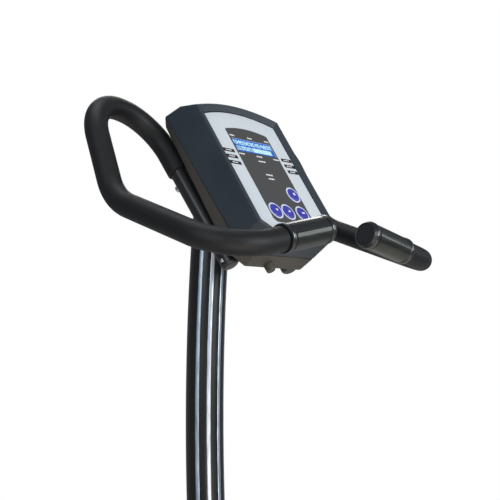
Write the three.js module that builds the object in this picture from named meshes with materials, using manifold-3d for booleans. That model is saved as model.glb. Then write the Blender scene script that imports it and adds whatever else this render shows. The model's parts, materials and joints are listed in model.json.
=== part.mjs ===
// Upright exercise bike, in millimetres. +X is the rider's forward, +Y the rider's left, +Z up,
// and the origin is on the floor under the middle of the whole bike.
import * as THREE from 'three';
import { mergeVertices } from 'three/addons/utils/BufferGeometryUtils.js';
import Module from 'manifold-3d';

// Driving dimensions
const gap = 0.3; // clearance kept between pieces that touch
const wall = 3; // moulded casings
const tubeWall = 2; // steel tubes
const degree = Math.PI / 180;

const stabiliser = { x: 505, z: 35, radius: 28, halfSpan: 215 };
const endCap = { halfLength: 35, height: 66, depth: 34 };
const wheel = { x: 512, z: 30, radius: 24, width: 18, stub: 5, headRadius: 9 };
const foot = { radius: 18, thickness: 10, stem: 4, stemTop: 42 };
const beam = { halfLength: 525, halfWidth: 20, bottom: 63.4, top: 113.4 };

const crank = { x: -150, z: 300, length: 170, angle: 25 * degree, armInner: 64, armOuter: 78 };
const crankAxle = { radius: 10, tip: 8, flange: 22, shoulder: 62 };
const pulley = { radius: 105, inner: 16, outer: 28, windows: 5, windowRadius: 20, windowRing: 62 };
const flywheel = { x: 75, z: 330, radius: 130, halfWidth: 12, pulleyRadius: 21, axle: 6, bore: 6.5, hub: 26,
  web: 5, rimInner: 104, rimEdge: 108 };
const fork = { inner: 30, outer: 35 };
const pedal = { inner: 88, outer: 178, halfLength: 45, halfHeight: 13, spindle: 6.5, collar: 9 };
const toeStrap = { rise: 66, width: 30, back: -8, foot: 10, thickness: 2.5 };

const seatTube = { x: -260, z: 180, lean: 14.55 * degree, radius: 25, top: 545 };
const post = { radius: 19, bottom: 300, top: 652, settings: 6, settingStep: 30 };
const pin = { radius: 4.4, height: 515 }; // the pin's axis crosses the seat tube at this height
const saddle = { x: -400, z: 712, length: 268, rearWidth: 206, noseWidth: 62, height: 66 };

const mastArc = { radius: 3500, x: 289, z: 880 }; // the mast is upright at this point
const mast = { radius: 30.5, bottom: 372, stubTop: 470, stubRadius: 35 };
const shroud = { halfWidth: 60, bottom: 50, top: 640, bevel: 14 };

const display = { x: 185, z: 1300, lean: 33.24 * degree }; // middle of the screen, lean from upright
const face = { halfWidth: 100, rim: 6, cornerTop: 66, apexTop: 82, bottom: -178, parting: -52 };
const label = { halfWidth: 86.3, cornerTop: 55.3, apexTop: 69, bottom: -165, thickness: 1.2 };
const screen = { width: 97.6, height: 26.6, depth: 9 };
const button = { radius: 14, hole: 14.7, proud: 1.2, back: -8 };
const buttons = {
  button_down: [-34.6, -129.3],
  button_up: [-3.7, -129.3],
  button_enter: [32.4, -129.3],
  button_start: [35.8, -91.4],
};
const consoleBack = -75;
const bracket = { front: -75.3, back: -106, halfWidth: 56, bottom: -172, top: 8, plate: 5 };

// Left handlebar centreline, measured from the middle of the screen, and the bend radii
const barCorners = [[-18, 74, -196], [145, 87, 46], [135, 232, 62], [54, 253, -102], [-179, 267, -186],
  [-176, 56, -145]];
const barBends = [77, 73, 84, 70];
const bar = { radius: 14.25, step: 30, foam: 18, foamBore: 15.4, foamStart: 186, grip: 104, gripRadius: 19.8,
  plateHalfAngle: 78 * degree };

// Materials
const finish = (color, roughness, metalness = 0) => () =>
  new THREE.MeshStandardMaterial({ color, roughness, metalness });
const blackPaint = finish(0x1a1b1d, 0.35, 0.3);
const mastPaint = finish(0x202225, 0.25, 0.3);
const casing = finish(0x2d363f, 0.55);
const casingDark = finish(0x252525, 0.6);
const foamRubber = finish(0x1f2022, 0.9);
const gripPlastic = finish(0x24272a, 0.3);
const steel = finish(0xb8bcc0, 0.3, 1);
const castIron = finish(0x55585c, 0.5, 0.8);
const rubber = finish(0x161616, 0.8);
const vinyl = finish(0x1b1b1c, 0.6);
const labelFilm = finish(0xd0dae2, 0.4);
const screenGlass = finish(0x59a1cc, 0.15);
const buttonBlue = finish(0x3c3c9c, 0.4);
const boardGreen = finish(0x1f5a3a, 0.5);

// Solids
const wasm = await Module();
wasm.setup();

function solid(geometry) {
  const bare = geometry.clone();
  bare.deleteAttribute('normal');
  bare.deleteAttribute('uv');
  const merged = mergeVertices(bare, 1e-4);
  const corners = merged.index.array;
  const kept = [];
  for (let i = 0; i < corners.length; i += 3) {
    const [a, b, c] = corners.slice(i, i + 3);
    if (a !== b && b !== c && c !== a) kept.push(a, b, c); // a profile on the axis leaves empty triangles
  }
  return new wasm.Manifold(new wasm.Mesh({
    numProp: 3,
    vertProperties: new Float32Array(merged.attributes.position.array),
    triVerts: new Uint32Array(kept),
  }));
}

function geometryOf(manifold) {
  const mesh = manifold.getMesh();
  const geometry = new THREE.BufferGeometry();
  geometry.setAttribute('position', new THREE.BufferAttribute(new Float32Array(mesh.vertProperties), 3));
  geometry.setIndex(new THREE.BufferAttribute(new Uint32Array(mesh.triVerts), 1));
  geometry.computeVertexNormals();
  return geometry;
}

const join = (...geometries) => geometryOf(geometries.map(solid).reduce((a, b) => a.add(b)));
const cut = (base, ...tools) => geometryOf(tools.map(solid).reduce((a, b) => a.subtract(b), solid(base)));
const common = (a, b) => geometryOf(solid(a).intersect(solid(b)));

// A box between two corners
function box(x0, x1, y0, y1, z0, z1) {
  return new THREE.BoxGeometry(x1 - x0, y1 - y0, z1 - z0)
    .translate((x0 + x1) / 2, (y0 + y1) / 2, (z0 + z1) / 2);
}

// A cylinder along Y between two planes
function axleY(radius, y0, y1, x, z, sides = 14) {
  return new THREE.CylinderGeometry(radius, radius, y1 - y0, sides).translate(x, (y0 + y1) / 2, z);
}

// A turned shape from a profile of [radius, height] points, which starts and ends on the axis or is a ring
function turned(profile, sides = 18) {
  const ring = profile[0][0] === 0 ? profile : [...profile, profile[0]];
  const points = ring.map(([r, h]) => new THREE.Vector2(r, h));
  return new THREE.LatheGeometry(points, sides).rotateX(Math.PI / 2);
}

// A ring along Y between two planes
function ringY(inner, outer, y0, y1, x, z, sides = 18) {
  return turned([[inner, 0], [outer, 0], [outer, y1 - y0], [inner, y1 - y0]], sides)
    .rotateX(-Math.PI / 2).translate(x, y0, z);
}

// A closed outline through corners [x, y, radius], each rounded to its radius
function roundedOutline(corners, segments = 3) {
  const shape = new THREE.Shape();
  corners.forEach(([x, y, radius], i) => {
    const corner = new THREE.Vector2(x, y);
    const before = new THREE.Vector2(...corners.at(i - 1).slice(0, 2)).sub(corner).normalize();
    const after = new THREE.Vector2(...corners[(i + 1) % corners.length].slice(0, 2)).sub(corner).normalize();
    const half = Math.acos(THREE.MathUtils.clamp(before.dot(after), -1, 1)) / 2;
    const start = before.clone().multiplyScalar(radius / Math.tan(half)).add(corner);
    const end = after.clone().multiplyScalar(radius / Math.tan(half)).add(corner);
    const centre = before.clone().add(after).normalize().multiplyScalar(radius / Math.sin(half)).add(corner);
    const from = start.clone().sub(centre).angle();
    const to = end.clone().sub(centre).angle();
    const sweep = THREE.MathUtils.euclideanModulo(to - from + Math.PI, 2 * Math.PI) - Math.PI;
    for (let k = 0; k <= segments; k += 1) {
      const angle = from + sweep * k / segments;
      const point = [centre.x + radius * Math.cos(angle), centre.y + radius * Math.sin(angle)];
      if (i === 0 && k === 0) shape.moveTo(...point);
      else shape.lineTo(...point);
    }
  });
  shape.closePath();
  return shape;
}

// A side view outline, x forward and y up, given a thickness along Y between two planes
function sidePlate(shape, y0, y1, curveSegments = 4) {
  return new THREE.ExtrudeGeometry(shape, { depth: y1 - y0, bevelEnabled: false, curveSegments })
    .rotateX(Math.PI / 2).translate(0, y1, 0);
}

// An arc between two radii vectors about a centre
class Arc extends THREE.Curve {
  constructor(centre, from, to) {
    super();
    Object.assign(this, { centre, from, to, angle: from.angleTo(to) });
  }
  getPoint(t, target = new THREE.Vector3()) {
    const a = Math.sin((1 - t) * this.angle) / Math.sin(this.angle);
    const b = Math.sin(t * this.angle) / Math.sin(this.angle);
    return target.copy(this.centre).addScaledVector(this.from, a).addScaledVector(this.to, b);
  }
}

// The stretch of a curve between two distances along it
class Stretch extends THREE.Curve {
  constructor(curve, from, to) {
    super();
    Object.assign(this, { curve, from: from / curve.getLength(), to: to / curve.getLength() });
  }
  getPoint(t, target = new THREE.Vector3()) {
    return this.curve.getPoint(THREE.MathUtils.lerp(this.from, this.to, t), target);
  }
}

// A bent tube's centreline: straight legs between corners, with an arc at each inner corner
function bentLine(corners, radii) {
  const path = new THREE.CurvePath();
  let from = corners[0];
  for (let i = 1; i < corners.length - 1; i += 1) {
    const back = corners[i - 1].clone().sub(corners[i]).normalize();
    const on = corners[i + 1].clone().sub(corners[i]).normalize();
    const half = back.angleTo(on) / 2;
    const reach = radii[i - 1] / Math.tan(half);
    const start = corners[i].clone().addScaledVector(back, reach);
    const end = corners[i].clone().addScaledVector(on, reach);
    const centre = back.clone().add(on).normalize().multiplyScalar(radii[i - 1] / Math.sin(half))
      .add(corners[i]);
    path.add(new THREE.LineCurve3(from, start));
    path.add(new Arc(centre, start.clone().sub(centre), end.clone().sub(centre)));
    from = end;
  }
  path.add(new THREE.LineCurve3(from, corners.at(-1)));
  return path;
}

// A regular polygon that stands for a circle
function circlePoints(radius, sides) {
  return Array.from({ length: sides }, (_, k) => new THREE.Vector2(
    radius * Math.cos(2 * Math.PI * k / sides), radius * Math.sin(2 * Math.PI * k / sides)));
}

// A hollow round tube along a curve
function tube(curve, radius, bore, steps, sides, boreSides = sides) {
  const section = new THREE.Shape(circlePoints(radius, sides));
  section.holes.push(new THREE.Path(circlePoints(bore, boreSides)));
  return new THREE.ExtrudeGeometry(section, { extrudePath: curve, steps, bevelEnabled: false });
}

const bike = new THREE.Group();
const consoleGroup = new THREE.Group();
bike.add(consoleGroup);

function piece(name, geometry, material, parent = bike) {
  const mesh = new THREE.Mesh(geometry, material());
  mesh.name = name;
  parent.add(mesh);
  return mesh;
}

const sides = { left: 1, right: -1 };

// Turns a geometry made for the left side into the one for the given side
function onSide(geometry, sign) {
  if (sign > 0) return geometry;
  const mirrored = geometry.clone().scale(1, -1, 1);
  const indexed = mirrored.index ? mirrored : mergeVertices(mirrored);
  const order = indexed.index.array;
  for (let i = 0; i < order.length; i += 3) [order[i + 1], order[i + 2]] = [order[i + 2], order[i + 1]];
  indexed.computeVertexNormals();
  return indexed;
}

// Base: two cross tubes with moulded ends, transport wheels in front and levelling feet behind
for (const [end, direction] of [['front', 1], ['rear', -1]]) {
  const x = direction * stabiliser.x;
  piece(`${end}_stabiliser`, ringY(stabiliser.radius - tubeWall, stabiliser.radius,
    -stabiliser.halfSpan, stabiliser.halfSpan, x, stabiliser.z), blackPaint);
  const bottom = end === 'front' ? 0 : foot.thickness + gap;
  const half = endCap.halfLength;
  const outline = roundedOutline([[x - half, bottom, 8], [x + half, bottom, 8],
    [x + half, endCap.height, 20], [x - half, endCap.height, 20]]);
  const inner = stabiliser.halfSpan + gap;
  const block = sidePlate(outline, inner, inner + endCap.depth);
  const spigot = axleY(stabiliser.radius - tubeWall - 1, inner - 24, inner + 1, x, stabiliser.z, 16);
  let cap = join(block, spigot);
  if (end === 'front') {
    const outerFace = inner + endCap.depth;
    const stubEnd = outerFace + wheel.width + 3;
    cap = join(cap, axleY(wheel.stub, outerFace - 1, stubEnd, wheel.x, wheel.z, 16),
      axleY(wheel.headRadius, stubEnd - 1, stubEnd + 2, wheel.x, wheel.z, 16));
  } else {
    cap = cut(cap, new THREE.CylinderGeometry(foot.stem + 0.5, foot.stem + 0.5, foot.stemTop + 6, 12)
      .rotateX(Math.PI / 2).translate(x, inner + endCap.depth / 2, foot.stemTop / 2));
  }
  for (const [side, sign] of Object.entries(sides)) {
    piece(`${end}_end_cap_${side}`, onSide(cap, sign), rubber);
  }
}
for (const [side, sign] of Object.entries(sides)) {
  const outerFace = stabiliser.halfSpan + gap + endCap.depth;
  const r = wheel.radius;
  const tread = turned([[wheel.stub + 0.6, 0], [r - 3, 0], [r, 3], [r, wheel.width - 3], [r - 3, wheel.width],
    [wheel.stub + 0.6, wheel.width]]).rotateX(-Math.PI / 2).translate(wheel.x, outerFace + 1, wheel.z);
  piece(`transport_wheel_${side}`, onSide(tread, sign), rubber);
  const y = sign * (stabiliser.halfSpan + gap + endCap.depth / 2);
  const footProfile = [[0, 0], [foot.radius - 2, 0], [foot.radius, 3], [foot.radius - 3, foot.thickness],
    [foot.stem, foot.thickness], [foot.stem, foot.stemTop], [0, foot.stemTop]];
  piece(`levelling_foot_${side}`, turned(footProfile, 12), rubber).position.set(-stabiliser.x, y, 0);
}

// Frame: a lower beam that carries the seat tube, the crank housing, the flywheel fork and the mast socket
function alongSeat(geometry, z) {
  const x = seatTube.x - Math.tan(seatTube.lean) * (z - seatTube.z);
  return geometry.rotateY(-seatTube.lean).translate(x, 0, z);
}
// A round bar on the seat tube's axis between two heights
function seatBar(radius, z0, z1, barSides = 16) {
  const length = (z1 - z0) / Math.cos(seatTube.lean);
  const straight = new THREE.CylinderGeometry(radius, radius, length, barSides).rotateX(Math.PI / 2);
  return alongSeat(straight, (z0 + z1) / 2);
}
const mastX = (z) => mastArc.x - (mastArc.radius - Math.sqrt(mastArc.radius ** 2 - (z - mastArc.z) ** 2));
const socketMiddle = (mast.bottom + mast.stubTop) / 2;
const socketLean = Math.asin((mastArc.z - socketMiddle) / mastArc.radius);
// A round bar on the mast socket's axis between two heights
function socketBar(radius, z0, z1) {
  const middle = (z0 + z1) / 2;
  const x = mastX(socketMiddle) + Math.tan(socketLean) * (middle - socketMiddle);
  return new THREE.CylinderGeometry(radius, radius, (z1 - z0) / Math.cos(socketLean), 16).rotateX(Math.PI / 2)
    .rotateY(socketLean).translate(x, 0, middle);
}
const forkOutline = roundedOutline([[20, 100, 2], [130, 100, 2], [flywheel.x + 22, flywheel.z + 20, 20],
  [flywheel.x - 22, flywheel.z + 20, 20]]);
const brakePivot = { x: 212, z: 386, radius: 5 };
const motorShelf = { x0: 178, x1: 240, z: 462 };
const frameOutside = join(
  box(-beam.halfLength, beam.halfLength, -beam.halfWidth, beam.halfWidth, beam.bottom, beam.top),
  seatBar(seatTube.radius, 90, seatTube.top),
  axleY(27, -34, 12, crank.x, crank.z),
  box(crank.x - 20, crank.x + 20, -12, 12, beam.top - 5, crank.z - 10),
  box(-290, crank.x - 15, -12, 12, crank.z - 15, crank.z + 15),
  box(20, 130, -fork.outer, fork.outer, 98, 126),
  sidePlate(forkOutline, fork.inner, fork.outer),
  sidePlate(forkOutline, -fork.outer, -fork.inner),
  socketBar(mast.stubRadius, 100, mast.stubTop),
  box(brakePivot.x - 8, brakePivot.x + 25, -11, 11, brakePivot.z - 8, brakePivot.z + 8),
  box(motorShelf.x0, motorShelf.x1, -14, 14, motorShelf.z - 4, motorShelf.z),
);
const pinBoss = alongSeat(new THREE.CylinderGeometry(11, 11, 14, 16).rotateZ(Math.PI / 2)
  .translate(-seatTube.radius - 5, 0, 0), pin.height);
const pinHole = alongSeat(new THREE.CylinderGeometry(5, 5, 50, 12).rotateZ(Math.PI / 2)
  .translate(-seatTube.radius - 18, 0, 0), pin.height);
piece('main_frame', cut(join(frameOutside, pinBoss),
  box(-beam.halfLength - 1, beam.halfLength + 1, -beam.halfWidth + tubeWall, beam.halfWidth - tubeWall,
    beam.bottom + tubeWall, beam.top - tubeWall),
  seatBar(22.6, 120, seatTube.top + 1),
  socketBar(31.6, 120, mast.stubTop + 1),
  axleY(20, -35, 13, crank.x, crank.z),
  axleY(flywheel.axle + gap, -40, 40, flywheel.x, flywheel.z, 16),
  axleY(brakePivot.radius + gap, -20, 20, brakePivot.x, brakePivot.z, 16),
  pinHole), blackPaint);

// Drive: crank axle in two bearings, belt pulley, belt, flywheel and magnetic brake
for (const [name, y0] of [['crank_bearing_left', 1], ['crank_bearing_right', -33]]) {
  piece(name, ringY(10.4, 19.6, y0, y0 + 10, crank.x, crank.z, 14), steel);
}
const axleEnd = crank.armOuter - 2;
piece('crank_axle', join(axleY(crankAxle.radius, -crankAxle.shoulder, crankAxle.shoulder, crank.x, crank.z),
  axleY(crankAxle.tip, -axleEnd, axleEnd, crank.x, crank.z),
  axleY(crankAxle.flange, pulley.outer + 1, pulley.outer + 6, crank.x, crank.z)), steel);
const pulleyDisc = ringY(10.4, pulley.radius, pulley.inner, pulley.outer, crank.x, crank.z, 28);
const pulleyWindows = circlePoints(pulley.windowRing, pulley.windows)
  .map(({ x, y }) => axleY(pulley.windowRadius, 0, 60, crank.x + x, crank.z + y, 8));
piece('drive_pulley', cut(pulleyDisc, ...pulleyWindows), gripPlastic);
// From the hub on the right, out over the web and the rim, and back to the small pulley on the left
const { halfWidth, web, bore: wheelBore, pulleyRadius } = flywheel;
const pulleyFace = pulley.outer - 0.5;
const wheelDisc = turned([[wheelBore, -14], [flywheel.hub, -14], [flywheel.hub, -web],
  [flywheel.rimInner, -web], [flywheel.rimEdge, -halfWidth], [flywheel.radius, -halfWidth],
  [flywheel.radius, halfWidth],
  [flywheel.rimEdge, halfWidth], [flywheel.rimInner, web], [pulleyRadius, web], [pulleyRadius, pulleyFace],
  [wheelBore, pulleyFace]], 24).rotateX(-Math.PI / 2);
piece('flywheel', wheelDisc, castIron).position.set(flywheel.x, 0, flywheel.z);
piece('flywheel_axle', axleY(flywheel.axle, -44, 44, flywheel.x, flywheel.z, 16), steel);

// The belt's outline is the loop of two circles and their outer tangents, thickness apart
function beltLoop(offset) {
  const span = new THREE.Vector2(flywheel.x - crank.x, flywheel.z - crank.z);
  const [big, small] = [pulley.radius + offset, flywheel.pulleyRadius + offset];
  const lean = span.angle();
  const open = Math.acos((pulley.radius - flywheel.pulleyRadius) / span.length());
  const path = new THREE.Path();
  path.absarc(crank.x, crank.z, big, lean + open, lean - open + 2 * Math.PI, false);
  path.absarc(flywheel.x, flywheel.z, small, lean - open, lean + open, false);
  return path.getPoints(8);
}
const beltShape = new THREE.Shape(beltLoop(4));
beltShape.holes.push(new THREE.Path(beltLoop(1.6)));
piece('drive_belt', sidePlate(beltShape, pulley.inner + 1, pulley.outer - 2), rubber);

// The brake yoke straddles the rim between two angles round the flywheel and swings on its pivot
function yokeArc(inner, outer, from, to) {
  const shape = new THREE.Shape();
  shape.absarc(flywheel.x, flywheel.z, outer, from, to, false);
  shape.absarc(flywheel.x, flywheel.z, inner, to, from, true);
  return shape;
}
const yokePlate = yokeArc(112, 138, 22 * degree, 84 * degree);
const yoke = join(sidePlate(yokePlate, 14, 18), sidePlate(yokePlate, -18, -14),
  sidePlate(yokeArc(133.5, 138, 34 * degree, 84 * degree), -18, 18),
  box(brakePivot.x - 14, brakePivot.x + 8, 14, 18, brakePivot.z - 8, brakePivot.z + 8),
  box(brakePivot.x - 14, brakePivot.x + 8, -18, -14, brakePivot.z - 8, brakePivot.z + 8));
piece('brake_yoke', join(yoke, axleY(brakePivot.radius, -18, 18, brakePivot.x, brakePivot.z, 16)), steel);
piece('brake_motor', join(box(182, 222, -18, 18, motorShelf.z + gap, motorShelf.z + 34),
  axleY(6, 17, 26, 200, motorShelf.z + 18, 12)), gripPlastic);

// Cranks and pedals, made with the crank level and forward, then turned to the resting angle
const armOutline = new THREE.Shape();
armOutline.absarc(0, 0, 19, Math.PI / 2, 3 * Math.PI / 2, false);
armOutline.absarc(crank.length, 0, 14, -Math.PI / 2, Math.PI / 2, false);
const arm = cut(sidePlate(armOutline, crank.armInner, crank.armOuter, 6),
  axleY(8 + gap, 50, 90, 0, 0), axleY(pedal.spindle + gap, 50, 90, crank.length, 0, 16));
const spindle = join(axleY(pedal.spindle, crank.armInner + 1, pedal.outer + 3, 0, 0, 16),
  axleY(pedal.collar, crank.armOuter + 1, crank.armOuter + 5, 0, 0, 16));
const tread = roundedOutline([[-1, -1], [1, -1], [1, 1], [-1, 1]]
  .map(([x, z]) => [x * pedal.halfLength, z * pedal.halfHeight, 9]));
// A weight under the tread keeps the strap on top
const keel = box(-34, 34, pedal.inner + 3, pedal.outer - 3, -pedal.halfHeight - 13, -pedal.halfHeight + 1);
const pedalBody = cut(join(sidePlate(tread, pedal.inner, pedal.outer), keel),
  axleY(pedal.spindle + 0.6, 80, 190, 0, 0, 16));

// The strap is an arch across the foot, from the pedal's inner edge to its outer edge
const strapMiddle = (pedal.inner + pedal.outer) / 2;
const strapInside = (pedal.outer - pedal.inner) / 2 + 1;
const strapOutside = strapInside + toeStrap.thickness;
const strapSpring = toeStrap.foot + 4; // height at which the strap's upright sides turn into the arch
const strapArch = new THREE.Shape();
strapArch.moveTo(strapMiddle + strapOutside, toeStrap.foot);
strapArch.absellipse(strapMiddle, strapSpring, strapOutside, toeStrap.rise, 0, Math.PI, false);
strapArch.lineTo(strapMiddle - strapOutside, toeStrap.foot);
strapArch.lineTo(strapMiddle - strapInside, toeStrap.foot);
const strapClear = toeStrap.rise - toeStrap.thickness;
strapArch.absellipse(strapMiddle, strapSpring, strapInside, strapClear, Math.PI, 0, true);
strapArch.lineTo(strapMiddle + strapInside, toeStrap.foot);
const strapForm = { depth: toeStrap.width, bevelEnabled: false, curveSegments: 6 };
const strap = new THREE.ExtrudeGeometry(strapArch, strapForm).rotateX(Math.PI / 2)
  .rotateZ(Math.PI / 2).translate(toeStrap.back, 0, 0);
for (const [side, sign] of Object.entries(sides)) {
  const turn = sign > 0 ? crank.angle : crank.angle + Math.PI;
  const x = crank.x + crank.length * Math.cos(turn);
  const z = crank.z + crank.length * Math.sin(turn);
  const armPiece = piece(`crank_arm_${side}`, onSide(arm, sign), steel);
  armPiece.position.set(crank.x, 0, crank.z);
  armPiece.rotation.y = -turn;
  piece(`pedal_spindle_${side}`, onSide(spindle, sign), steel).position.set(x, 0, z);
  piece(`pedal_${side}`, onSide(pedalBody, sign), gripPlastic).position.set(x, 0, z);
  piece(`pedal_strap_${side}`, onSide(strap, sign), rubber).position.set(x, 0, z);
}

// Covers: a two-part shroud over the drive, a collar where the mast leaves it and the mains adaptor's inlet
const shroudOutline = roundedOutline([[-350, shroud.bottom, 30], [330, shroud.bottom, 30],
  [326, shroud.top, 25], [212, shroud.top, 45], [-80, 468, 110], [-292, 500, 20], [-388, 478, 20]]);
function shroudSolid(inset) {
  const { bevel } = shroud;
  const depth = 2 * (shroud.halfWidth - inset - bevel);
  return new THREE.ExtrudeGeometry(shroudOutline, { depth, bevelThickness: bevel, bevelSize: bevel,
    bevelOffset: -bevel - inset, bevelSegments: 2 }).translate(0, 0, -depth / 2).rotateX(Math.PI / 2);
}
const collarHeight = shroud.top + gap;
const inlet = { y: 30, z: 150, radius: 7 };
const inletAlongX = (radius, x0, x1) => new THREE.CylinderGeometry(radius, radius, x1 - x0, 16)
  .rotateZ(Math.PI / 2).translate((x0 + x1) / 2, inlet.y, inlet.z);
const shell = cut(shroudSolid(0), shroudSolid(wall),
  box(-600, 600, -beam.halfWidth - 1, beam.halfWidth + 1, beam.bottom - 1, beam.top + 1),
  seatBar(seatTube.radius + 1, 400, 600),
  new THREE.CylinderGeometry(40, 40, 60, 24).rotateX(Math.PI / 2).translate(mastX(shroud.top), 0, shroud.top),
  axleY(24, -100, 100, crank.x, crank.z),
  inletAlongX(inlet.radius + gap, 300, 350));
piece('shroud_left', common(shell, box(-600, 600, gap / 2, 100, 0, 800)), casing);
piece('shroud_right', common(shell, box(-600, 600, -100, -gap / 2, 0, 800)), casing);
piece('power_inlet', cut(join(inletAlongX(inlet.radius, 318, 332), inletAlongX(10, 330.5, 334)),
  inletAlongX(3.5, 322, 340)), gripPlastic);
const collarLean = Math.asin((mastArc.z - collarHeight) / mastArc.radius);
const collarBore = mast.radius + 1.3;
const collarProfile = [[collarBore, 3], [47, 3], [47, 6], [38, 26], [collarBore, 30]];
const collar = piece('mast_collar', turned(collarProfile, 20), casingDark);
collar.position.set(mastX(collarHeight), 0, collarHeight);
collar.rotation.y = collarLean;

// Seat: bush, telescopic post with a sprung locking pin, fore-and-aft carriage with a clamping knob, saddle
piece('seat_bush', turned([[19.6, -22], [21.7, -22], [21.7, gap], [28, gap], [28, 8], [19.6, 8]]), casingDark)
  .applyMatrix4(new THREE.Matrix4().makeRotationY(-seatTube.lean)
    .setPosition(seatTube.x - Math.tan(seatTube.lean) * (seatTube.top - seatTube.z), 0, seatTube.top));
const postHeadX = seatTube.x - Math.tan(seatTube.lean) * (post.top - seatTube.z);
const headBar = { half: 90, halfWidth: 20, bottom: 652, top: 678 };
// One hole for each setting: the top one faces the pin while the saddle is lowest
const pinBar = (length, x, pinSides) => new THREE.CylinderGeometry(pin.radius, pin.radius, length, pinSides)
  .rotateZ(Math.PI / 2).translate(x, 0, 0);
const postHoles = Array.from({ length: post.settings }, (_, k) => alongSeat(pinBar(14, -post.radius, 6),
  pin.height - k * post.settingStep * Math.cos(seatTube.lean)));
piece('seat_post', cut(join(seatBar(post.radius, post.bottom, post.top + 4),
  box(postHeadX - headBar.half, postHeadX + headBar.half, -headBar.halfWidth, headBar.halfWidth,
    headBar.bottom, headBar.top)),
seatBar(post.radius - tubeWall, post.bottom - 5, post.top - 4), ...postHoles), steel);
const carriageTop = headBar.top + 6;
const columnTop = saddle.z - 14 - gap;
const carriage = cut(
  join(box(saddle.x - 50, saddle.x + 50, -26, 26, headBar.bottom + 4, carriageTop),
    new THREE.CylinderGeometry(17, 17, columnTop - carriageTop + 2, 16).rotateX(Math.PI / 2)
      .translate(saddle.x, 0, (columnTop + carriageTop) / 2 - 1)),
  box(saddle.x - 60, saddle.x + 60, -headBar.halfWidth - gap, headBar.halfWidth + gap,
    headBar.bottom - 50, headBar.top + gap),
  axleY(5.4, 10, 60, saddle.x, 667, 14));
piece('saddle_carriage', carriage, casingDark);
const knob = (radius, y0, y1) => turned([[0, y0], [radius - 3, y0], [radius, y0 + 4], [radius, y1 - 3],
  [radius - 4, y1], [0, y1]], 14);
piece('carriage_knob', join(axleY(5, headBar.halfWidth + 1, 42, saddle.x, 667, 14),
  knob(20, 0, 18).rotateX(-Math.PI / 2).translate(saddle.x, 38, 667)), gripPlastic);
piece('post_pin_knob', alongSeat(join(
  pinBar(34, -post.radius - 18, 14),
  knob(19, 0, 22).rotateY(-Math.PI / 2).translate(-seatTube.radius - 13, 0, 0)), pin.height), gripPlastic);

// The saddle's outline from above: a wide tail that narrows to a rounded nose
function saddleOutline(inset) {
  const tail = saddle.x - saddle.length / 2 + inset;
  const nose = saddle.x + saddle.length / 2 - inset;
  const wide = saddle.rearWidth / 2 - inset;
  const narrow = saddle.noseWidth / 2 - inset;
  const shape = new THREE.Shape();
  shape.moveTo(tail, 0);
  shape.bezierCurveTo(tail, -wide * 0.75, tail + 25, -wide, tail + 70, -wide);
  shape.bezierCurveTo(tail + 135, -wide, tail + 130, -narrow * 1.15, nose - 50, -narrow);
  shape.bezierCurveTo(nose - 15, -narrow, nose, -narrow * 0.6, nose, 0);
  shape.bezierCurveTo(nose, narrow * 0.6, nose - 15, narrow, nose - 50, narrow);
  shape.bezierCurveTo(tail + 130, narrow * 1.15, tail + 135, wide, tail + 70, wide);
  shape.bezierCurveTo(tail + 25, wide, tail, wide * 0.75, tail, 0);
  return shape;
}
const baseForm = { depth: 8, bevelThickness: 3, bevelSize: 3, bevelOffset: -3, bevelSegments: 1,
  curveSegments: 5 };
const padForm = { depth: saddle.height - 24, bevelThickness: 12, bevelSize: 14, bevelOffset: -14,
  bevelSegments: 2, curveSegments: 5 };
piece('saddle_base', new THREE.ExtrudeGeometry(saddleOutline(14), baseForm)
  .translate(0, 0, saddle.z - 11), casingDark);
piece('saddle_pad', new THREE.ExtrudeGeometry(saddleOutline(0), padForm)
  .translate(0, 0, saddle.z + 12 + gap), vinyl);

// Console group: local X is the rider's right, local Y runs up the panel and local Z out of it
const panelUp = new THREE.Vector3(Math.sin(display.lean), 0, Math.cos(display.lean));
const panelOut = new THREE.Vector3(-Math.cos(display.lean), 0, Math.sin(display.lean));
const screenMiddle = new THREE.Vector3(display.x, 0, display.z);
const consoleMatrix = new THREE.Matrix4().makeBasis(new THREE.Vector3(0, -1, 0), panelUp, panelOut)
  .setPosition(screenMiddle);
consoleMatrix.decompose(consoleGroup.position, consoleGroup.quaternion, consoleGroup.scale);

// Mast: a gently bowed tube, cut at the slope of the console bracket that closes its top
const bowCentre = new THREE.Vector3(mastArc.x - mastArc.radius, 0, mastArc.z);
const bowPoint = (z) => new THREE.Vector3(mastX(z), 0, z).sub(bowCentre);
const mastCurve = new Arc(bowCentre, bowPoint(mast.bottom), bowPoint(display.z + 20));
const behindBracket = box(-200, 200, -400, 400, bracket.back - gap, 300).applyMatrix4(consoleMatrix);
piece('mast', cut(tube(mastCurve, mast.radius, mast.radius - tubeWall, 9, 18, 10), behindBracket), mastPaint);

const inside = { halfWidth: bracket.halfWidth - bracket.plate, back: bracket.back + bracket.plate };
const channel = cut(
  box(-bracket.halfWidth, bracket.halfWidth, bracket.bottom, bracket.top, bracket.back, bracket.front),
  box(-inside.halfWidth, inside.halfWidth, bracket.bottom - 1, bracket.top + 1, inside.back,
    bracket.front + 1));
piece('console_bracket', channel, blackPaint, consoleGroup);

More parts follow.
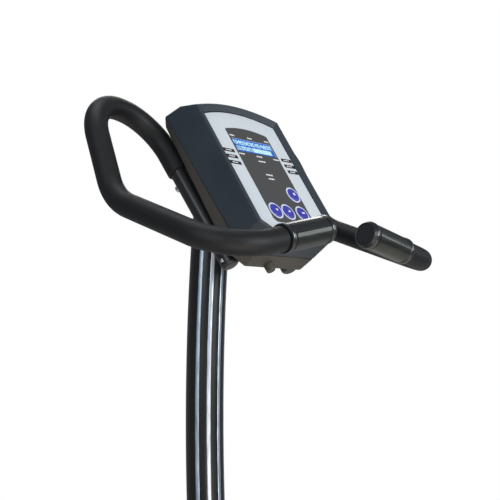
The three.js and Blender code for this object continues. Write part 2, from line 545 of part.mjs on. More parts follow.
// Console casing: the arch over the top of the face flattens towards the back
function archedOutline({ halfWidth, cornerTop, apexTop, bottom }, corner, lower, segments = 8) {
  const shape = new THREE.Shape();
  shape.moveTo(-halfWidth + lower, bottom);
  shape.lineTo(halfWidth - lower, bottom);
  shape.lineTo(halfWidth, bottom + corner);
  for (let k = 0; k <= segments; k += 1) {
    const x = halfWidth * (1 - 2 * k / segments);
    shape.lineTo(x, cornerTop + (apexTop - cornerTop) * (1 - (x / halfWidth) ** 2));
  }
  shape.lineTo(-halfWidth, bottom + corner);
  shape.closePath();
  return shape;
}
function raiseTop(geometry, inset) {
  const { position } = geometry.attributes;
  const { clamp } = THREE.MathUtils;
  for (let i = 0; i < position.count; i += 1) {
    const [x, y, z] = [position.getX(i), position.getY(i), position.getZ(i)];
    if (y > 30) {
      const across = Math.min(1, Math.abs(x) / (face.halfWidth - inset)) ** 2;
      const back = clamp((face.rim - z) / 28, 0, 1) + clamp((-22 - z) / 150, 0, 1);
      position.setY(i, y + back * (6 + 16 * across));
    }
  }
  return geometry;
}
const insetFace = (inset) => ({ halfWidth: face.halfWidth - inset, cornerTop: face.cornerTop - inset,
  apexTop: face.apexTop - inset, bottom: face.bottom + inset });
function casingBlock(inset, from, to) {
  const depth = to - from;
  const shape = archedOutline(insetFace(inset), 20, 26);
  const form = { depth, steps: Math.ceil(depth / 15), bevelEnabled: false };
  return raiseTop(new THREE.ExtrudeGeometry(shape, form).translate(0, 0, from), inset);
}
const labelRecess = new THREE.ExtrudeGeometry(archedOutline({ ...label, halfWidth: label.halfWidth + gap,
  cornerTop: label.cornerTop + gap, apexTop: label.apexTop + gap, bottom: label.bottom - gap }, 8, 8),
{ depth: 20, bevelEnabled: false }).translate(0, 0, -label.thickness - gap);
const roundHoles = (radius) => Object.values(buttons).map(([x, y]) =>
  new THREE.CylinderGeometry(radius, radius, 60, 16).rotateX(Math.PI / 2).translate(x, y, 0));
const screenHole = box(-screen.width / 2, screen.width / 2, -screen.height / 2, screen.height / 2, -30, 20);
const frontHollow = casingBlock(wall, face.parting - 5, -5);
piece('console_front_shell', cut(casingBlock(0, face.parting, face.rim), frontHollow, labelRecess, screenHole,
  ...roundHoles(button.hole)), casing, consoleGroup);
const labelPlate = new THREE.ExtrudeGeometry(archedOutline(label, 8, 8), { depth: label.thickness,
  bevelEnabled: false }).translate(0, 0, -label.thickness);
piece('label_panel', cut(labelPlate, screenHole, ...roundHoles(button.hole)), labelFilm, consoleGroup);
const [screenX, screenY] = [screen.width / 2 - gap, screen.height / 2 - gap];
piece('screen', box(-screenX, screenX, -screenY, screenY, -screen.depth, -0.6), screenGlass, consoleGroup);
piece('circuit_board', box(-80, 80, -150, 50, -16, -14.4), boardGreen, consoleGroup);
for (const [name, [x, y]] of Object.entries(buttons)) {
  const cap = new THREE.CylinderGeometry(button.radius, button.radius, button.proud - button.back, 16)
    .rotateX(Math.PI / 2).translate(x, y, (button.proud + button.back) / 2);
  piece(name, cap, buttonBlue, consoleGroup);
}

// The rear shell tapers in to the flat back that lies against the handlebar tubes
function rearBlock(inset) {
  const from = consoleBack + inset;
  const to = face.parting - gap;
  const geometry = casingBlock(inset, from, to + (inset > 0 ? 5 : 0));
  const { position } = geometry.attributes;
  for (let i = 0; i < position.count; i += 1) {
    const t = THREE.MathUtils.clamp((to - position.getZ(i)) / (to - from), 0, 1);
    position.setX(i, position.getX(i) * (1 - 0.15 * t));
    position.setY(i, -40 + (position.getY(i) + 40) * (1 - 0.06 * t));
  }
  return geometry;
}
const boss = new THREE.CylinderGeometry(7, 8, 16, 14).translate(-21, face.bottom - 2, -62);
piece('console_rear_shell', cut(join(rearBlock(0), boss), rearBlock(wall)), casingDark, consoleGroup);

// Handlebars: a bent tube each side with a foam sleeve and a pulse-sensing grip
const corners = barCorners.map((corner) => new THREE.Vector3(...corner).add(screenMiddle));
const centreline = bentLine(corners, barBends);
const barLength = centreline.getLength();
const steps = Math.round(barLength / bar.step);
const stepLength = barLength / steps;
const foamFrom = Math.round(bar.foamStart / stepLength);
const foamTo = Math.floor((barLength - bar.grip - 2) / stepLength);
const tubeEnd = steps - 1;
const barStretch = new Stretch(centreline, 0, tubeEnd * stepLength);
const barTube = tube(barStretch, bar.radius, bar.radius - tubeWall, tubeEnd, 10, 6);
const foam = tube(new Stretch(centreline, foamFrom * stepLength, foamTo * stepLength), bar.foam, bar.foamBore,
  foamTo - foamFrom, 10);
const gripAxis = corners.at(-1).clone().sub(corners.at(-2)).normalize();
const gripTurn = new THREE.Quaternion().setFromUnitVectors(new THREE.Vector3(0, 0, 1), gripAxis);
const gripMatrix = new THREE.Matrix4().compose(corners.at(-1), gripTurn, new THREE.Vector3(1, 1, 1));
const gripStart = -(barLength - foamTo * stepLength) + gap;
const collarRadius = bar.foam + 3;
const grip = turned([[0, -6], [bar.foamBore, -6], [bar.foamBore, gripStart], [collarRadius, gripStart],
  [collarRadius, gripStart + 7], [bar.gripRadius, gripStart + 8], [bar.gripRadius, -8], [collarRadius, -7],
  [collarRadius, -2], [bar.foam, 0], [0, 0]], 16).applyMatrix4(gripMatrix);

// A curved metal plate over half of the grip
function pulsePlate(middle) {
  const shape = new THREE.Shape();
  const [from, to] = [middle - bar.plateHalfAngle, middle + bar.plateHalfAngle];
  shape.absarc(0, 0, bar.gripRadius + 0.9, from, to, false);
  shape.absarc(0, 0, bar.gripRadius + gap, to, from, true);
  return new THREE.ExtrudeGeometry(shape, { depth: -gripStart - 20, bevelEnabled: false, curveSegments: 4 })
    .translate(0, 0, gripStart + 10).applyMatrix4(gripMatrix);
}
for (const [side, sign] of Object.entries(sides)) {
  piece(`handlebar_tube_${side}`, onSide(barTube, sign), blackPaint);
  piece(`foam_sleeve_${side}`, onSide(foam, sign), foamRubber);
  piece(`grip_${side}`, onSide(grip, sign), gripPlastic);
  piece(`pulse_plate_front_${side}`, onSide(pulsePlate(0), sign), steel);
  piece(`pulse_plate_rear_${side}`, onSide(pulsePlate(Math.PI), sign), steel);
}

export default bike;
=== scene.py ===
"""Dresses the frame of an upright exercise bike: console, handlebars, mast, covers, base, pedals, saddle and stage.

Lengths are in metres. +X is the rider's forward, +Y the rider's left and +Z up, with the floor at zero.
"""
import json
import math
from collections import namedtuple

import bmesh
import bpy
import numpy as np
from bpy.props import FloatProperty, FloatVectorProperty, PointerProperty
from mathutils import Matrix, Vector


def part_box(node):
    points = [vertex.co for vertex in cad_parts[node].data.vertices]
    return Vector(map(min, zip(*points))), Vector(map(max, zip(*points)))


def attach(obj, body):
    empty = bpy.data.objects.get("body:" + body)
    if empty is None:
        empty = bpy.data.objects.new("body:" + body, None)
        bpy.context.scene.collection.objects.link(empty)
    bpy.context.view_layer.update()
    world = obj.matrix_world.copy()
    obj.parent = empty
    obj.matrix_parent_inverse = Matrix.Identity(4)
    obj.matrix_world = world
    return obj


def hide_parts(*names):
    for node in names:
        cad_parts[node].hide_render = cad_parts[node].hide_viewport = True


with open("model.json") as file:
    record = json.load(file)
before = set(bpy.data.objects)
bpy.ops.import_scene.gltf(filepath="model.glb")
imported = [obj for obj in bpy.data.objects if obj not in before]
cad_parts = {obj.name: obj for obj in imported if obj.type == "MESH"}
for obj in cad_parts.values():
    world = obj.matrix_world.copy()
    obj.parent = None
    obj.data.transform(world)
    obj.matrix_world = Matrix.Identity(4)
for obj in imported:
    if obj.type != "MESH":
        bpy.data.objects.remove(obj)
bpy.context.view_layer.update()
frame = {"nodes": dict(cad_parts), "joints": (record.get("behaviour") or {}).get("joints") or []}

bl_info = {
    "name": "Exercise Bike",
    "version": (1, 0, 0),
    "blender": (4, 5, 0),
    "location": "3D View > Sidebar > Bike",
    "description": "Builds the pieces, finishes and stage of an upright exercise bike",
    "category": "Add Mesh",
}

SIDES = {"left": 1, "right": -1}
RIGHT_ANGLE = math.pi / 2


# ---- Places taken from the frame ----

def joint(name):
    """The frame's joint of that name."""
    return next(j for j in frame["joints"] if j["name"] == name)


def corners_of(node):
    """The lowest and highest corner of a node, as arrays."""
    return tuple(np.array(corner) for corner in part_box(node))


def middle(node):
    """The middle of a node's box."""
    low, high = corners_of(node)
    return (low + high) / 2


def placing(origin, *axes):
    """A function that takes points on three local axes from an origin to the bike's axes."""
    basis = np.array(axes, float)
    return lambda points: np.asarray(points, float) @ basis + origin


def sideways(x, z, y=0.0):
    """Local axes at a place: forward, up and towards the rider's left."""
    return placing((x, y, z), X, Z, Y)


X, Y, Z = np.eye(3)
OUT = -np.array(joint("up_press")["axis"])  # out of the console's face
UP = np.array([OUT[2], 0, -OUT[0]])  # up the console's face
SCREEN_MIDDLE_DEPTH = 0.0048
DISPLAY = middle("screen") + OUT * SCREEN_MIDDLE_DEPTH
on_console = placing(DISPLAY, -Y, UP, OUT)  # the rider's right, up the face and out of it
LOWER_EDGE = -0.1  # height on the face below which the bracket's points are its lower edge

# Left handlebar's centreline from the display, with the radius of each bend between its straight legs
BAR_CORNERS = [(-0.018, 0.074, -0.196), (0.145, 0.087, 0.046), (0.135, 0.232, 0.062),
               (0.054, 0.253, -0.102), (-0.179, 0.267, -0.186), (-0.176, 0.056, -0.145)]
BAR_BENDS = [0.077, 0.073, 0.084, 0.070]
FOAM_START = 0.186  # along the bar from its lower end
GRIP_LENGTH = 0.110
GRIP_PAST_END = 0.006  # how far the grip runs past the end of the tube
MAST_BOW = 3.5  # radius of the mast's arc, which is upright at MAST_UPRIGHT
MAST_UPRIGHT = np.array([0.289, 0, 0.880])
SEAT_AXIS = np.array(joint("post_height")["axis"])
SEAT_BACK = -np.array([SEAT_AXIS[2], 0, -SEAT_AXIS[0]])
SEAT_FOOT = np.array([-0.260, 0, 0.180])  # where the seat tube's axis meets the frame
CRANK = np.array(joint("crank_spin")["pos_m"])
PEDALS = {side: np.array(joint(f"{side}_pedal_spin")["pos_m"]) for side in SIDES}


# ---- Surfaces ----

Form = namedtuple("Form", "points quads caps")


def unit(vectors):
    """Vectors brought to length one."""
    return vectors / np.linalg.norm(vectors, axis=-1, keepdims=True)


def loft(rings, closed=True):
    """A surface through rings of points, as quads between neighbours.

    Its two ends get a flat face, or meet each other.
    """
    rows, columns = rings.shape[:2]
    i = np.arange(rows - 1 if closed else rows)[:, None]
    j = np.arange(columns)[None]
    after, beside = (i + 1) % rows, (j + 1) % columns
    quads = np.stack([i * columns + j, i * columns + beside, after * columns + beside, after * columns + j], -1)
    ends = [np.arange(columns), np.arange((rows - 1) * columns, rows * columns)] if closed else []
    return Form(rings.reshape(-1, 3), quads.reshape(-1, 4), ends)


def at_depth(outline, depth):
    """A flat outline given a third coordinate."""
    return np.column_stack([outline, np.full(len(outline), depth)])


def arc(before, corner, after, radius):
    """The arc that touches both edges at a corner: its points as a function of shares of it, and its length."""
    back, on = unit(before - corner), unit(after - corner)
    half = math.acos(np.clip(back @ on, -1, 1)) / 2
    sweep = math.pi - 2 * half
    centre = corner + unit(back + on) * radius / math.sin(half)
    first, last = (corner + way * radius / math.tan(half) - centre for way in (back, on))

    def points(share):
        """Both ends' arms from the centre, blended by the sines of the angles left and gone."""
        return centre + (np.sin((1 - share) * sweep) * first + np.sin(share * sweep) * last) / math.sin(sweep)
    return points, radius * sweep


def rounded(corners, steps=6):
    """A closed outline through corners (x, y, radius), each one an arc that touches both its edges."""
    spots = np.array([corner[:2] for corner in corners], float)
    shares = np.linspace(0, 1, steps + 1)[:, None]
    neighbours = zip(np.roll(spots, 1, 0), spots, np.roll(spots, -1, 0), corners)
    return np.concatenate([arc(before, here, after, radius)[0](shares) if radius else here[None]
                           for before, here, after, (_, _, radius) in neighbours])


def rectangle(half, low, high, radius, steps=6):
    """A rounded rectangle's outline: half a width each way on the first axis, from low to high on the second."""
    return rounded([(-half, low, radius), (half, low, radius), (half, high, radius), (-half, high, radius)], steps)


def shrunk(outline, inset):
    """A closed outline moved inwards: each point goes along the bisector of its two edges."""
    ahead = unit(np.roll(outline, -1, 0) - outline)
    along_edges = unit(ahead + np.roll(ahead, 1, 0))
    following = np.roll(outline, -1, 0)
    turns_left = np.sum(outline[:, 0] * following[:, 1] - outline[:, 1] * following[:, 0]) > 0
    inwards = np.column_stack([-along_edges[:, 1], along_edges[:, 0]]) * (1 if turns_left else -1)
    return outline + inwards * inset


def seen_from(centre, outline, like):
    """The points of one closed outline that lie, from a centre, in the same directions as another outline's."""
    start = outline - centre
    end = np.roll(start, -1, 0)
    ray = unit(like - centre)[:, None]
    side = start[None, :, 0] * ray[..., 1] - start[None, :, 1] * ray[..., 0]
    next_side = end[None, :, 0] * ray[..., 1] - end[None, :, 1] * ray[..., 0]
    with np.errstate(divide="ignore", invalid="ignore"):
        share = side / (side - next_side)
        reach = ((start + share[..., None] * (end - start)) * ray).sum(-1)
    crossed = (share >= 0) & (share <= 1) & (reach > 0)
    distance = np.where(crossed, reach, 0).max(1)
    return centre + ray[:, 0] * distance[:, None]


def directions(centre, *outlines):
    """All the points of several closed outlines, in order of their angle about a centre."""
    points = np.concatenate(outlines)
    angle = np.arctan2(*(points - centre).T[::-1])
    order = np.argsort(angle)
    points, angle = points[order], angle[order]
    return points[np.append(np.diff(angle) > 1e-4, True)]


def quarter(steps=4):
    """Sine and cosine over a quarter turn, for rounding an edge."""
    turn = np.linspace(0, RIGHT_ANGLE, steps + 1)
    return np.sin(turn), np.cos(turn)


def plate(outline, low, high, edge, place):
    """A solid of one outline between two depths. Quarter circles of radius edge round it into both faces."""
    sine, cosine = quarter()
    insets = np.concatenate([edge * (1 - sine), edge * (1 - cosine)])
    depths = np.concatenate([low + edge * (1 - cosine), high - edge * (1 - sine)])
    return loft(np.stack([place(at_depth(shrunk(outline, i), d)) for i, d in zip(insets, depths)]))


def rounded_profile(points, radius=0.001, steps=3):
    """A turned profile with its inner corners rounded: its ends stay where they are."""
    inner = [(x, y, radius) for x, y in points]
    inner[0], inner[-1] = (*points[0], 0), (*points[-1], 0)
    return rounded(inner, steps)


def round_the_axis(radius, sides):
    """Points of one or more radii at even angles about an axis, as the last two numbers of an array."""
    angle = np.linspace(0, 2 * math.pi, sides, endpoint=False)
    return np.stack([radius * np.cos(angle), radius * np.sin(angle)], -1)


def turned(profile, place, sides=56, lobes=0, lobe_depth=0.0, closed=True):
    """A profile of (radius, height) turned about the third axis, its radius waving where it has lobes.

    Its ends are closed, or it is a loop whose last point meets its first.
    """
    radius, height = np.array(profile, float).T
    waves = 1 + lobe_depth * np.cos(lobes * np.linspace(0, 2 * math.pi, sides, endpoint=False))
    rings = round_the_axis(radius[:, None] * waves, sides)
    return loft(place(np.dstack([rings, np.repeat(height[:, None], sides, 1)])), closed)


def bent_path(corners, bends, spacing=0.004):
    """Points along straight legs whose inner corners are arcs of the given radii."""
    def shares(length, ends=False):
        """Even shares of a stretch, a spacing apart."""
        return np.linspace(0, 1, max(2, round(length / spacing)), endpoint=ends)[:, None]

    corners = np.array(corners, float)
    path, here = [], corners[0]
    for before, corner, after, radius in zip(corners, corners[1:], corners[2:], bends):
        bend, length = arc(before, corner, after, radius)
        leg = bend(0.0) - here
        path += [here + shares(np.linalg.norm(leg)) * leg, bend(shares(length))]
        here = bend(1.0)
    leg = corners[-1] - here
    return np.concatenate([*path, here + shares(np.linalg.norm(leg), True) * leg])


def length_of(path):
    """The length of a line through points."""
    return float(np.linalg.norm(np.diff(path, axis=0), axis=1).sum())


def stations(path, distances, reference):
    """Centre, tangent and two crossways directions at distances along a path, which runs straight past its ends."""
    before, after = unit(path[0] - path[1]), unit(path[-1] - path[-2])
    reach = 0.1
    longer = np.concatenate([[path[0] + before * reach], path, [path[-1] + after * reach]])
    run = np.concatenate([[0], np.cumsum(np.linalg.norm(np.diff(longer, axis=0), axis=1))]) - reach
    slope = np.gradient(longer, run, axis=0)
    centre = np.stack([np.interp(distances, run, longer[:, k]) for k in range(3)], -1)
    tangent = unit(np.stack([np.interp(distances, run, slope[:, k]) for k in range(3)], -1))
    across = unit(np.cross(tangent, reference))
    return centre, tangent, across, np.cross(tangent, across)


def along(path, profile, reference, sides=40, closed=True):
    """Rings about a path, of radius r at distance s for each (s, r) of a profile."""
    distance, radius = np.array(profile, float).T
    centre, _, across, over = stations(path, distance, reference)
    angle = np.linspace(0, 2 * math.pi, sides, endpoint=False)[:, None]
    ways = np.cos(angle) * across[:, None] + np.sin(angle) * over[:, None]
    return loft(centre[:, None] + radius[:, None, None] * ways, closed)


def strip(path, reference, section, start, end, step=0.008):
    """A flat section of (across, over) points carried along a stretch of a path."""
    distance = evenly(start, end, step)
    centre, _, across, over = stations(path, distance, reference)
    section = np.array(section, float)
    return loft(centre[:, None] + section[None, :, :1] * across[:, None] + section[None, :, 1:] * over[:, None])


def evenly(start, end, step=0.004):
    """Distances between two ends, a step apart at most."""
    return np.linspace(start, end, max(2, round((end - start) / step)))


def sleeve(start, end, radius, edge, step=0.004):
    """The profile of a round sleeve along a path, with both its ends rounded."""
    sine, cosine = quarter(5)
    first = np.column_stack([start + edge * (1 - cosine), radius - edge * (1 - sine)])
    last = np.column_stack([end - edge * (1 - sine), radius - edge * (1 - cosine)])
    body = evenly(start + edge, end - edge, step)[1:-1]
    between = np.column_stack([body, np.full(len(body), radius)])
    return np.concatenate([[[start, 0]], first, between, last, [[end, 0]]])


def blocks(centres, halves, place):
    """Small blocks with square edges: centres and half sizes are rows of three numbers on local axes."""
    signs = np.array([(x, y, z) for z in (-1, 1) for y in (-1, 1) for x in (-1, 1)], float)
    faces = np.array([(0, 2, 3, 1), (4, 5, 7, 6), (0, 1, 5, 4), (2, 6, 7, 3), (0, 4, 6, 2), (1, 3, 7, 5)])
    centres = np.atleast_2d(centres)
    points = centres[:, None] + signs[None] * np.broadcast_to(halves, centres.shape)[:, None]
    quads = faces[None] + 8 * np.arange(len(centres))[:, None, None]
    return Form(place(points.reshape(-1, 3)), quads.reshape(-1, 4), [])


def mirrored(form):
    """The same surface on the rider's other side."""
    return Form(form.points * (1, -1, 1), form.quads, form.caps)


def on_side(forms, side):
    """Surfaces made for the left side, brought to the given side."""
    return [form if SIDES[side] > 0 else mirrored(form) for form in forms]


def circle(radius, count=64, centre=(0, 0)):
    """A round outline."""
    return round_the_axis(1.0, count) * radius + centre


def numbers_of(mesh, what="co"):
    """The places or the normals of a mesh's points, as rows."""
    rows = np.empty(len(mesh.vertices) * 3, np.float32)
    mesh.vertices.foreach_get(what, rows)
    return rows.reshape(-1, 3)


def merged(mesh, gap=2e-6, join_flat=False):
    """Merges a mesh's doubles, and then joins its flat faces or turns all its faces outwards."""
    work = bmesh.new()
    work.from_mesh(mesh)
    bmesh.ops.remove_doubles(work, verts=work.verts, dist=gap)
    if join_flat:
        bmesh.ops.dissolve_limit(work, angle_limit=math.radians(1), verts=work.verts, edges=work.edges)
    else:
        bmesh.ops.recalc_face_normals(work, faces=work.faces)
        if work.calc_volume(signed=True) < 0:
            bmesh.ops.reverse_faces(work, faces=work.faces)
    work.to_mesh(mesh)
    work.free()
    return mesh


def mesh_of(name, forms):
    """One mesh from closed surfaces."""
    starts = np.cumsum([0] + [len(form.points) for form in forms])
    faces = [face for start, form in zip(starts, forms) for face in (form.quads + start).tolist()]
    faces += [(cap + start).tolist() for start, form in zip(starts, forms) for cap in form.caps]
    mesh = bpy.data.meshes.new(name)
    mesh.from_pydata(np.concatenate([form.points for form in forms]), [], faces)
    return merged(mesh)


def shown(name, mesh, finish, stands_for=(), body="frame", slot=None, sharp=32):
    """Puts a mesh in the scene with its finish and body, smooth but for edges sharper than an angle. Its slot is not
    used.
    """
    mesh.shade_smooth()
    mesh.set_sharp_from_angle(angle=math.radians(sharp))
    mesh.materials.clear()
    mesh.materials.append(finish_named(finish))
    made = bpy.data.objects.new(name, mesh)
    bpy.context.scene.collection.objects.link(made)
    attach(made, body)
    if stands_for:
        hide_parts(*stands_for)
    return made


def piece(name, forms, finish, stands_for=(), **settings):
    """One object from closed surfaces. The settings are shown's body, slot and sharp."""
    return shown(name, mesh_of(name, forms), finish, stands_for, **settings)


def pair(name, forms, finish, node=None, body=None, **settings):
    """A piece made for the left side and mirrored for the right. It rides on the frame or on its side's body."""
    return [piece(f"{name}_{side}", on_side(forms, side), finish, (f"{node}_{side}",) if node else (),
                  body=f"{side}_{body}" if body else "frame", **settings) for side in SIDES]


def eased(name, node, width, finish, body, lowest=None):
    """A copy of a node with its edges bevelled, which stands for it.

    Its lower edge can be lifted to a height on the console's face.
    """
    mesh = frame["nodes"][node].data.copy()
    if lowest is not None:
        places = numbers_of(mesh)
        up = (places - DISPLAY) @ UP
        places += np.where(up < LOWER_EDGE, lowest - up, 0.0)[:, None] * UP
        mesh.vertices.foreach_set("co", places.ravel())
    made = shown(name, merged(mesh, 1e-5, join_flat=True), finish, (node,), body)
    bevel = made.modifiers.new("eased edges", "BEVEL")
    bevel.width, bevel.segments = width, 3
    bevel.limit_method, bevel.angle_limit = "ANGLE", math.radians(38)
    return made


def dress(finish, *nodes):
    """Gives nodes whose own shape is right a finish."""
    for node in nodes:
        mesh = frame["nodes"][node].data
        mesh.materials.clear()
        mesh.materials.append(finish_named(finish))


# ---- Finishes ----

class Number:
    """A number on a shader socket. Python's operators on it add Math nodes."""

    def __init__(self, recipe, socket):
        self.recipe, self.socket = recipe, socket

    def _math(self, operation, *values):
        return Number(self.recipe, self.recipe.node("ShaderNodeMath", {"operation": operation}, values).outputs[0])

    def __add__(self, other):
        return self._math("ADD", self, other)

    def __sub__(self, other):
        return self._math("SUBTRACT", self, other)

    def __rsub__(self, other):
        return self._math("SUBTRACT", other, self)

    def __mul__(self, other):
        return self._math("MULTIPLY", self, other)

    __radd__, __rmul__ = __add__, __mul__

    def smooth(self, low, high):
        """Rises smoothly from 0 at low to 1 at high."""
        node = self.recipe.node("ShaderNodeMapRange", {"interpolation_type": "SMOOTHSTEP"}, (self, low, high))
        return Number(self.recipe, node.outputs[0])


class Recipe:
    """One procedural material: the nodes it is made of and the sockets that they feed."""

    def __init__(self, name, fixed):
        self.material = bpy.data.materials.new(name)
        self.material.use_nodes = True
        self.tree = self.material.node_tree
        self.shader = self.tree.nodes["Principled BSDF"]
        for socket, value in fixed.items():
            self.shader.inputs[socket].default_value = value
        self.spot = self.node("ShaderNodeTexCoord").outputs["Object"]

    def node(self, kind, settings=None, values=()):
        """Adds a node: its settings first, then the values or links of its sockets, by order or by name."""
        made = self.tree.nodes.new(kind)
        for setting, value in (settings or {}).items():
            setattr(made, setting, value)
        for key, value in (values.items() if isinstance(values, dict) else enumerate(values)):
            if isinstance(value, Number):
                value = value.socket
            if isinstance(value, bpy.types.NodeSocket):
                self.tree.links.new(value, made.inputs[key])
            else:
                made.inputs[key].default_value = value
        return made

    def stretched(self, scale):
        """Object coordinates scaled differently on each axis."""
        return self.node("ShaderNodeMapping", None, {"Vector": self.spot, "Scale": scale}).outputs[0]

    def noise(self, scale, detail=2.0, stretch=(1, 1, 1)):
        """Soft noise of so many features to the metre."""
        values = {"Vector": self.stretched(stretch), "Scale": scale, "Detail": detail}
        return Number(self, self.node("ShaderNodeTexNoise", None, values).outputs[0])

    def cells(self, scale, feature="F1"):
        """Distance to the middle or to the edge of rounded cells of so many to the metre."""
        node = self.node("ShaderNodeTexVoronoi", {"feature": feature}, {"Vector": self.spot, "Scale": scale})
        return Number(self, node.outputs[0])

    def colour(self, share, first, second):
        """Feeds the base colour a mix of two colours."""
        mix = self.node("ShaderNodeMix", {"data_type": "RGBA"}, {0: share, 6: (*first, 1), 7: (*second, 1)})
        self.tree.links.new(mix.outputs[2], self.shader.inputs["Base Color"])

    def roughness(self, value):
        """Feeds the roughness."""
        self.tree.links.new(value.socket, self.shader.inputs["Roughness"])

    def relief(self, height, depth):
        """Feeds the normal a bump of so many metres."""
        bump = self.node("ShaderNodeBump", None, {"Strength": 1.0, "Distance": depth, "Height": height})
        self.tree.links.new(bump.outputs[0], self.shader.inputs["Normal"])


def shade(colour, factor):
    """A colour made lighter or darker."""
    return tuple(min(1.0, channel * factor) for channel in colour)


def moulded(name, colour, rough, grain=900, depth=0.00005):
    """Moulded plastic: a fine spark-eroded grain, with faint patches of wear and dust."""
    recipe = Recipe(name, {"Specular IOR Level": 0.35})
    patches, speckle = recipe.noise(16, 4), recipe.noise(grain, 3)
    recipe.colour(patches * 0.75 + speckle * 0.25, shade(colour, 0.78), shade(colour, 1.22))
    recipe.roughness(rough + (patches - 0.5) * 0.16 + (speckle - 0.5) * 0.1)
    recipe.relief(speckle, depth)
    return recipe.material


def painted(name, colour, rough, coat=0.3):
    """Powder coat: a soft orange peel under a thin gloss."""
    recipe = Recipe(name, {"Coat Weight": coat, "Coat Roughness": 0.12, "Specular IOR Level": 0.4})
    peel, patches = recipe.noise(420, 2), recipe.noise(9, 3)
    recipe.colour(patches, shade(colour, 0.8), shade(colour, 1.2))
    recipe.roughness(rough + (patches - 0.5) * 0.14)
    recipe.relief(peel, 0.00004)
    return recipe.material


def metal(name, colour, rough, stretch=(1, 1, 1), lines=700, coat=0.0):
    """Drawn or polished metal, with fine lines along its drawing direction and dulled patches. When the lines are made
    coarse, they are painted reflection streaks.
    """
    recipe = Recipe(name, {"Metallic": 1.0, "Coat Weight": coat, "Coat Roughness": 0.1})
    drawn, patches = recipe.noise(lines, 3, stretch), recipe.noise(22, 3)
    recipe.colour(drawn.smooth(0.3, 0.7) * 0.6 + patches * 0.4, shade(colour, 0.6), shade(colour, 1.25))
    recipe.roughness(rough + (drawn - 0.5) * 0.16 + (patches - 0.5) * 0.1)
    recipe.relief(drawn, 0.00002)
    return recipe.material


def closed_cell_foam(name, colour):
    """Foam sleeve: tiny closed cells with a soft, dusty sheen where hands have polished it."""
    recipe = Recipe(name, {"Specular IOR Level": 0.3})
    pores, worn, speckle = recipe.cells(820), recipe.noise(12, 3), recipe.noise(1500, 2)
    recipe.colour(worn * 0.7 + speckle * 0.3, shade(colour, 0.75), shade(colour, 1.3))
    recipe.roughness(0.5 + (worn - 0.5) * 0.16)
    recipe.relief(pores.smooth(0.05, 0.6) + speckle * 0.4, 0.00012)
    return recipe.material


def grained_vinyl(name, colour):
    """Seat cover: a leather-like grain of small cells with darker creases between them."""
    recipe = Recipe(name, {"Specular IOR Level": 0.4})
    creases, patches = recipe.cells(520, "DISTANCE_TO_EDGE"), recipe.noise(14, 3)
    raised = creases.smooth(0.0, 0.22)
    recipe.colour(raised * 0.6 + patches * 0.4, shade(colour, 0.5), shade(colour, 1.4))
    recipe.roughness(0.62 - raised * 0.14 + (patches - 0.5) * 0.12)
    recipe.relief(raised, 0.00022)
    return recipe.material


def printed_film(name, colour, rough, texture=1300):
    """Printed overlay film: a pearly velvet surface with the faintest mottling."""
    recipe = Recipe(name, {"Specular IOR Level": 0.4})
    velvet, mottle = recipe.noise(texture, 2), recipe.noise(7, 2)
    recipe.colour(mottle * 0.8 + velvet * 0.2, shade(colour, 0.93), shade(colour, 1.06))
    recipe.roughness(rough + (velvet - 0.5) * 0.12)
    recipe.relief(velvet, 0.00001)
    return recipe.material


def lit(name, colour, strength):
    """A lit display surface, a little uneven like a real backlight."""
    recipe = Recipe(name, {"Roughness": 0.12, "Emission Strength": strength})
    glow = recipe.noise(45, 2)
    mix = recipe.node("ShaderNodeMix", {"data_type": "RGBA"},
                      {0: glow.smooth(0.3, 0.7), 6: (*shade(colour, 0.8), 1), 7: (*shade(colour, 1.15), 1)})
    recipe.tree.links.new(mix.outputs[2], recipe.shader.inputs["Emission Color"])
    recipe.colour(glow, shade(colour, 0.10), shade(colour, 0.14))
    return recipe.material


def finish_named(name):
    """The finish of that name, made the first time that it is asked for."""
    colours = bpy.context.scene.bike_colours
    maker, *settings = {
        "slate_casing": (moulded, colours.casing, 0.5),
        "dark_casing": (moulded, colours.casing_dark, 0.52),
        "black_plastic": (moulded, colours.grip, 0.34, 600, 0.00002),
        "powder_coat": (painted, colours.frame, 0.36),
        "gloss_coat": (painted, colours.mast, 0.3, 0.2),
        "closed_cell_foam": (closed_cell_foam, colours.foam),
        "grained_vinyl": (grained_vinyl, colours.vinyl),
        # Pulse plates: the dark colour is a painted reflection of a dark room, and the coarse bands along the grip are
        # painted reflection streaks
        "pulse_metal": (metal, colours.pulse, 0.4, (1, 0.03, 1), 150, 0.6),
        "collar_metal": (metal, shade(colours.steel, 0.22), 0.24),
        "silver_trim": (metal, colours.stripe, 0.34, (1, 1, 0.05)),
        "bright_steel": (metal, colours.steel, 0.22, (1, 1, 0.1)),
        "cast_iron": (metal, shade(colours.steel, 0.4), 0.5),
        "black_rubber": (moulded, colours.rubber, 0.72, 700, 0.00008),
        "overlay_film": (printed_film, colours.overlay, 0.42),
        "lens_film": (printed_film, colours.lens, 0.36),
        "black_print": (printed_film, (0.012, 0.012, 0.014), 0.4),
        "white_print": (printed_film, (0.86, 0.87, 0.88), 0.45),
        "ring_print": (printed_film, colours.ring, 0.4),
        "key_blue": (printed_film, colours.key, 0.3, 800),
        "screen_blue": (lit, colours.screen, 0.9),
        "screen_white": (lit, (0.55, 0.86, 1.0), 0.95),
        "green_board": (printed_film, (0.02, 0.12, 0.05), 0.4),
        "pale_floor": (printed_film, colours.floor, 0.75, 120),
    }[name]
    return bpy.data.materials.get(name) or maker(name, *settings)


# ---- What a user may change ----

def colour_setting(name, description, default):
    """A colour on a panel."""
    return FloatVectorProperty(name=name, description=description, default=default, subtype="COLOR",
                               min=0, max=1)


def length_setting(name, description, default):
    """A length on a panel."""
    return FloatProperty(name=name, description=description, default=default, min=0, subtype="DISTANCE",
                         unit="LENGTH")


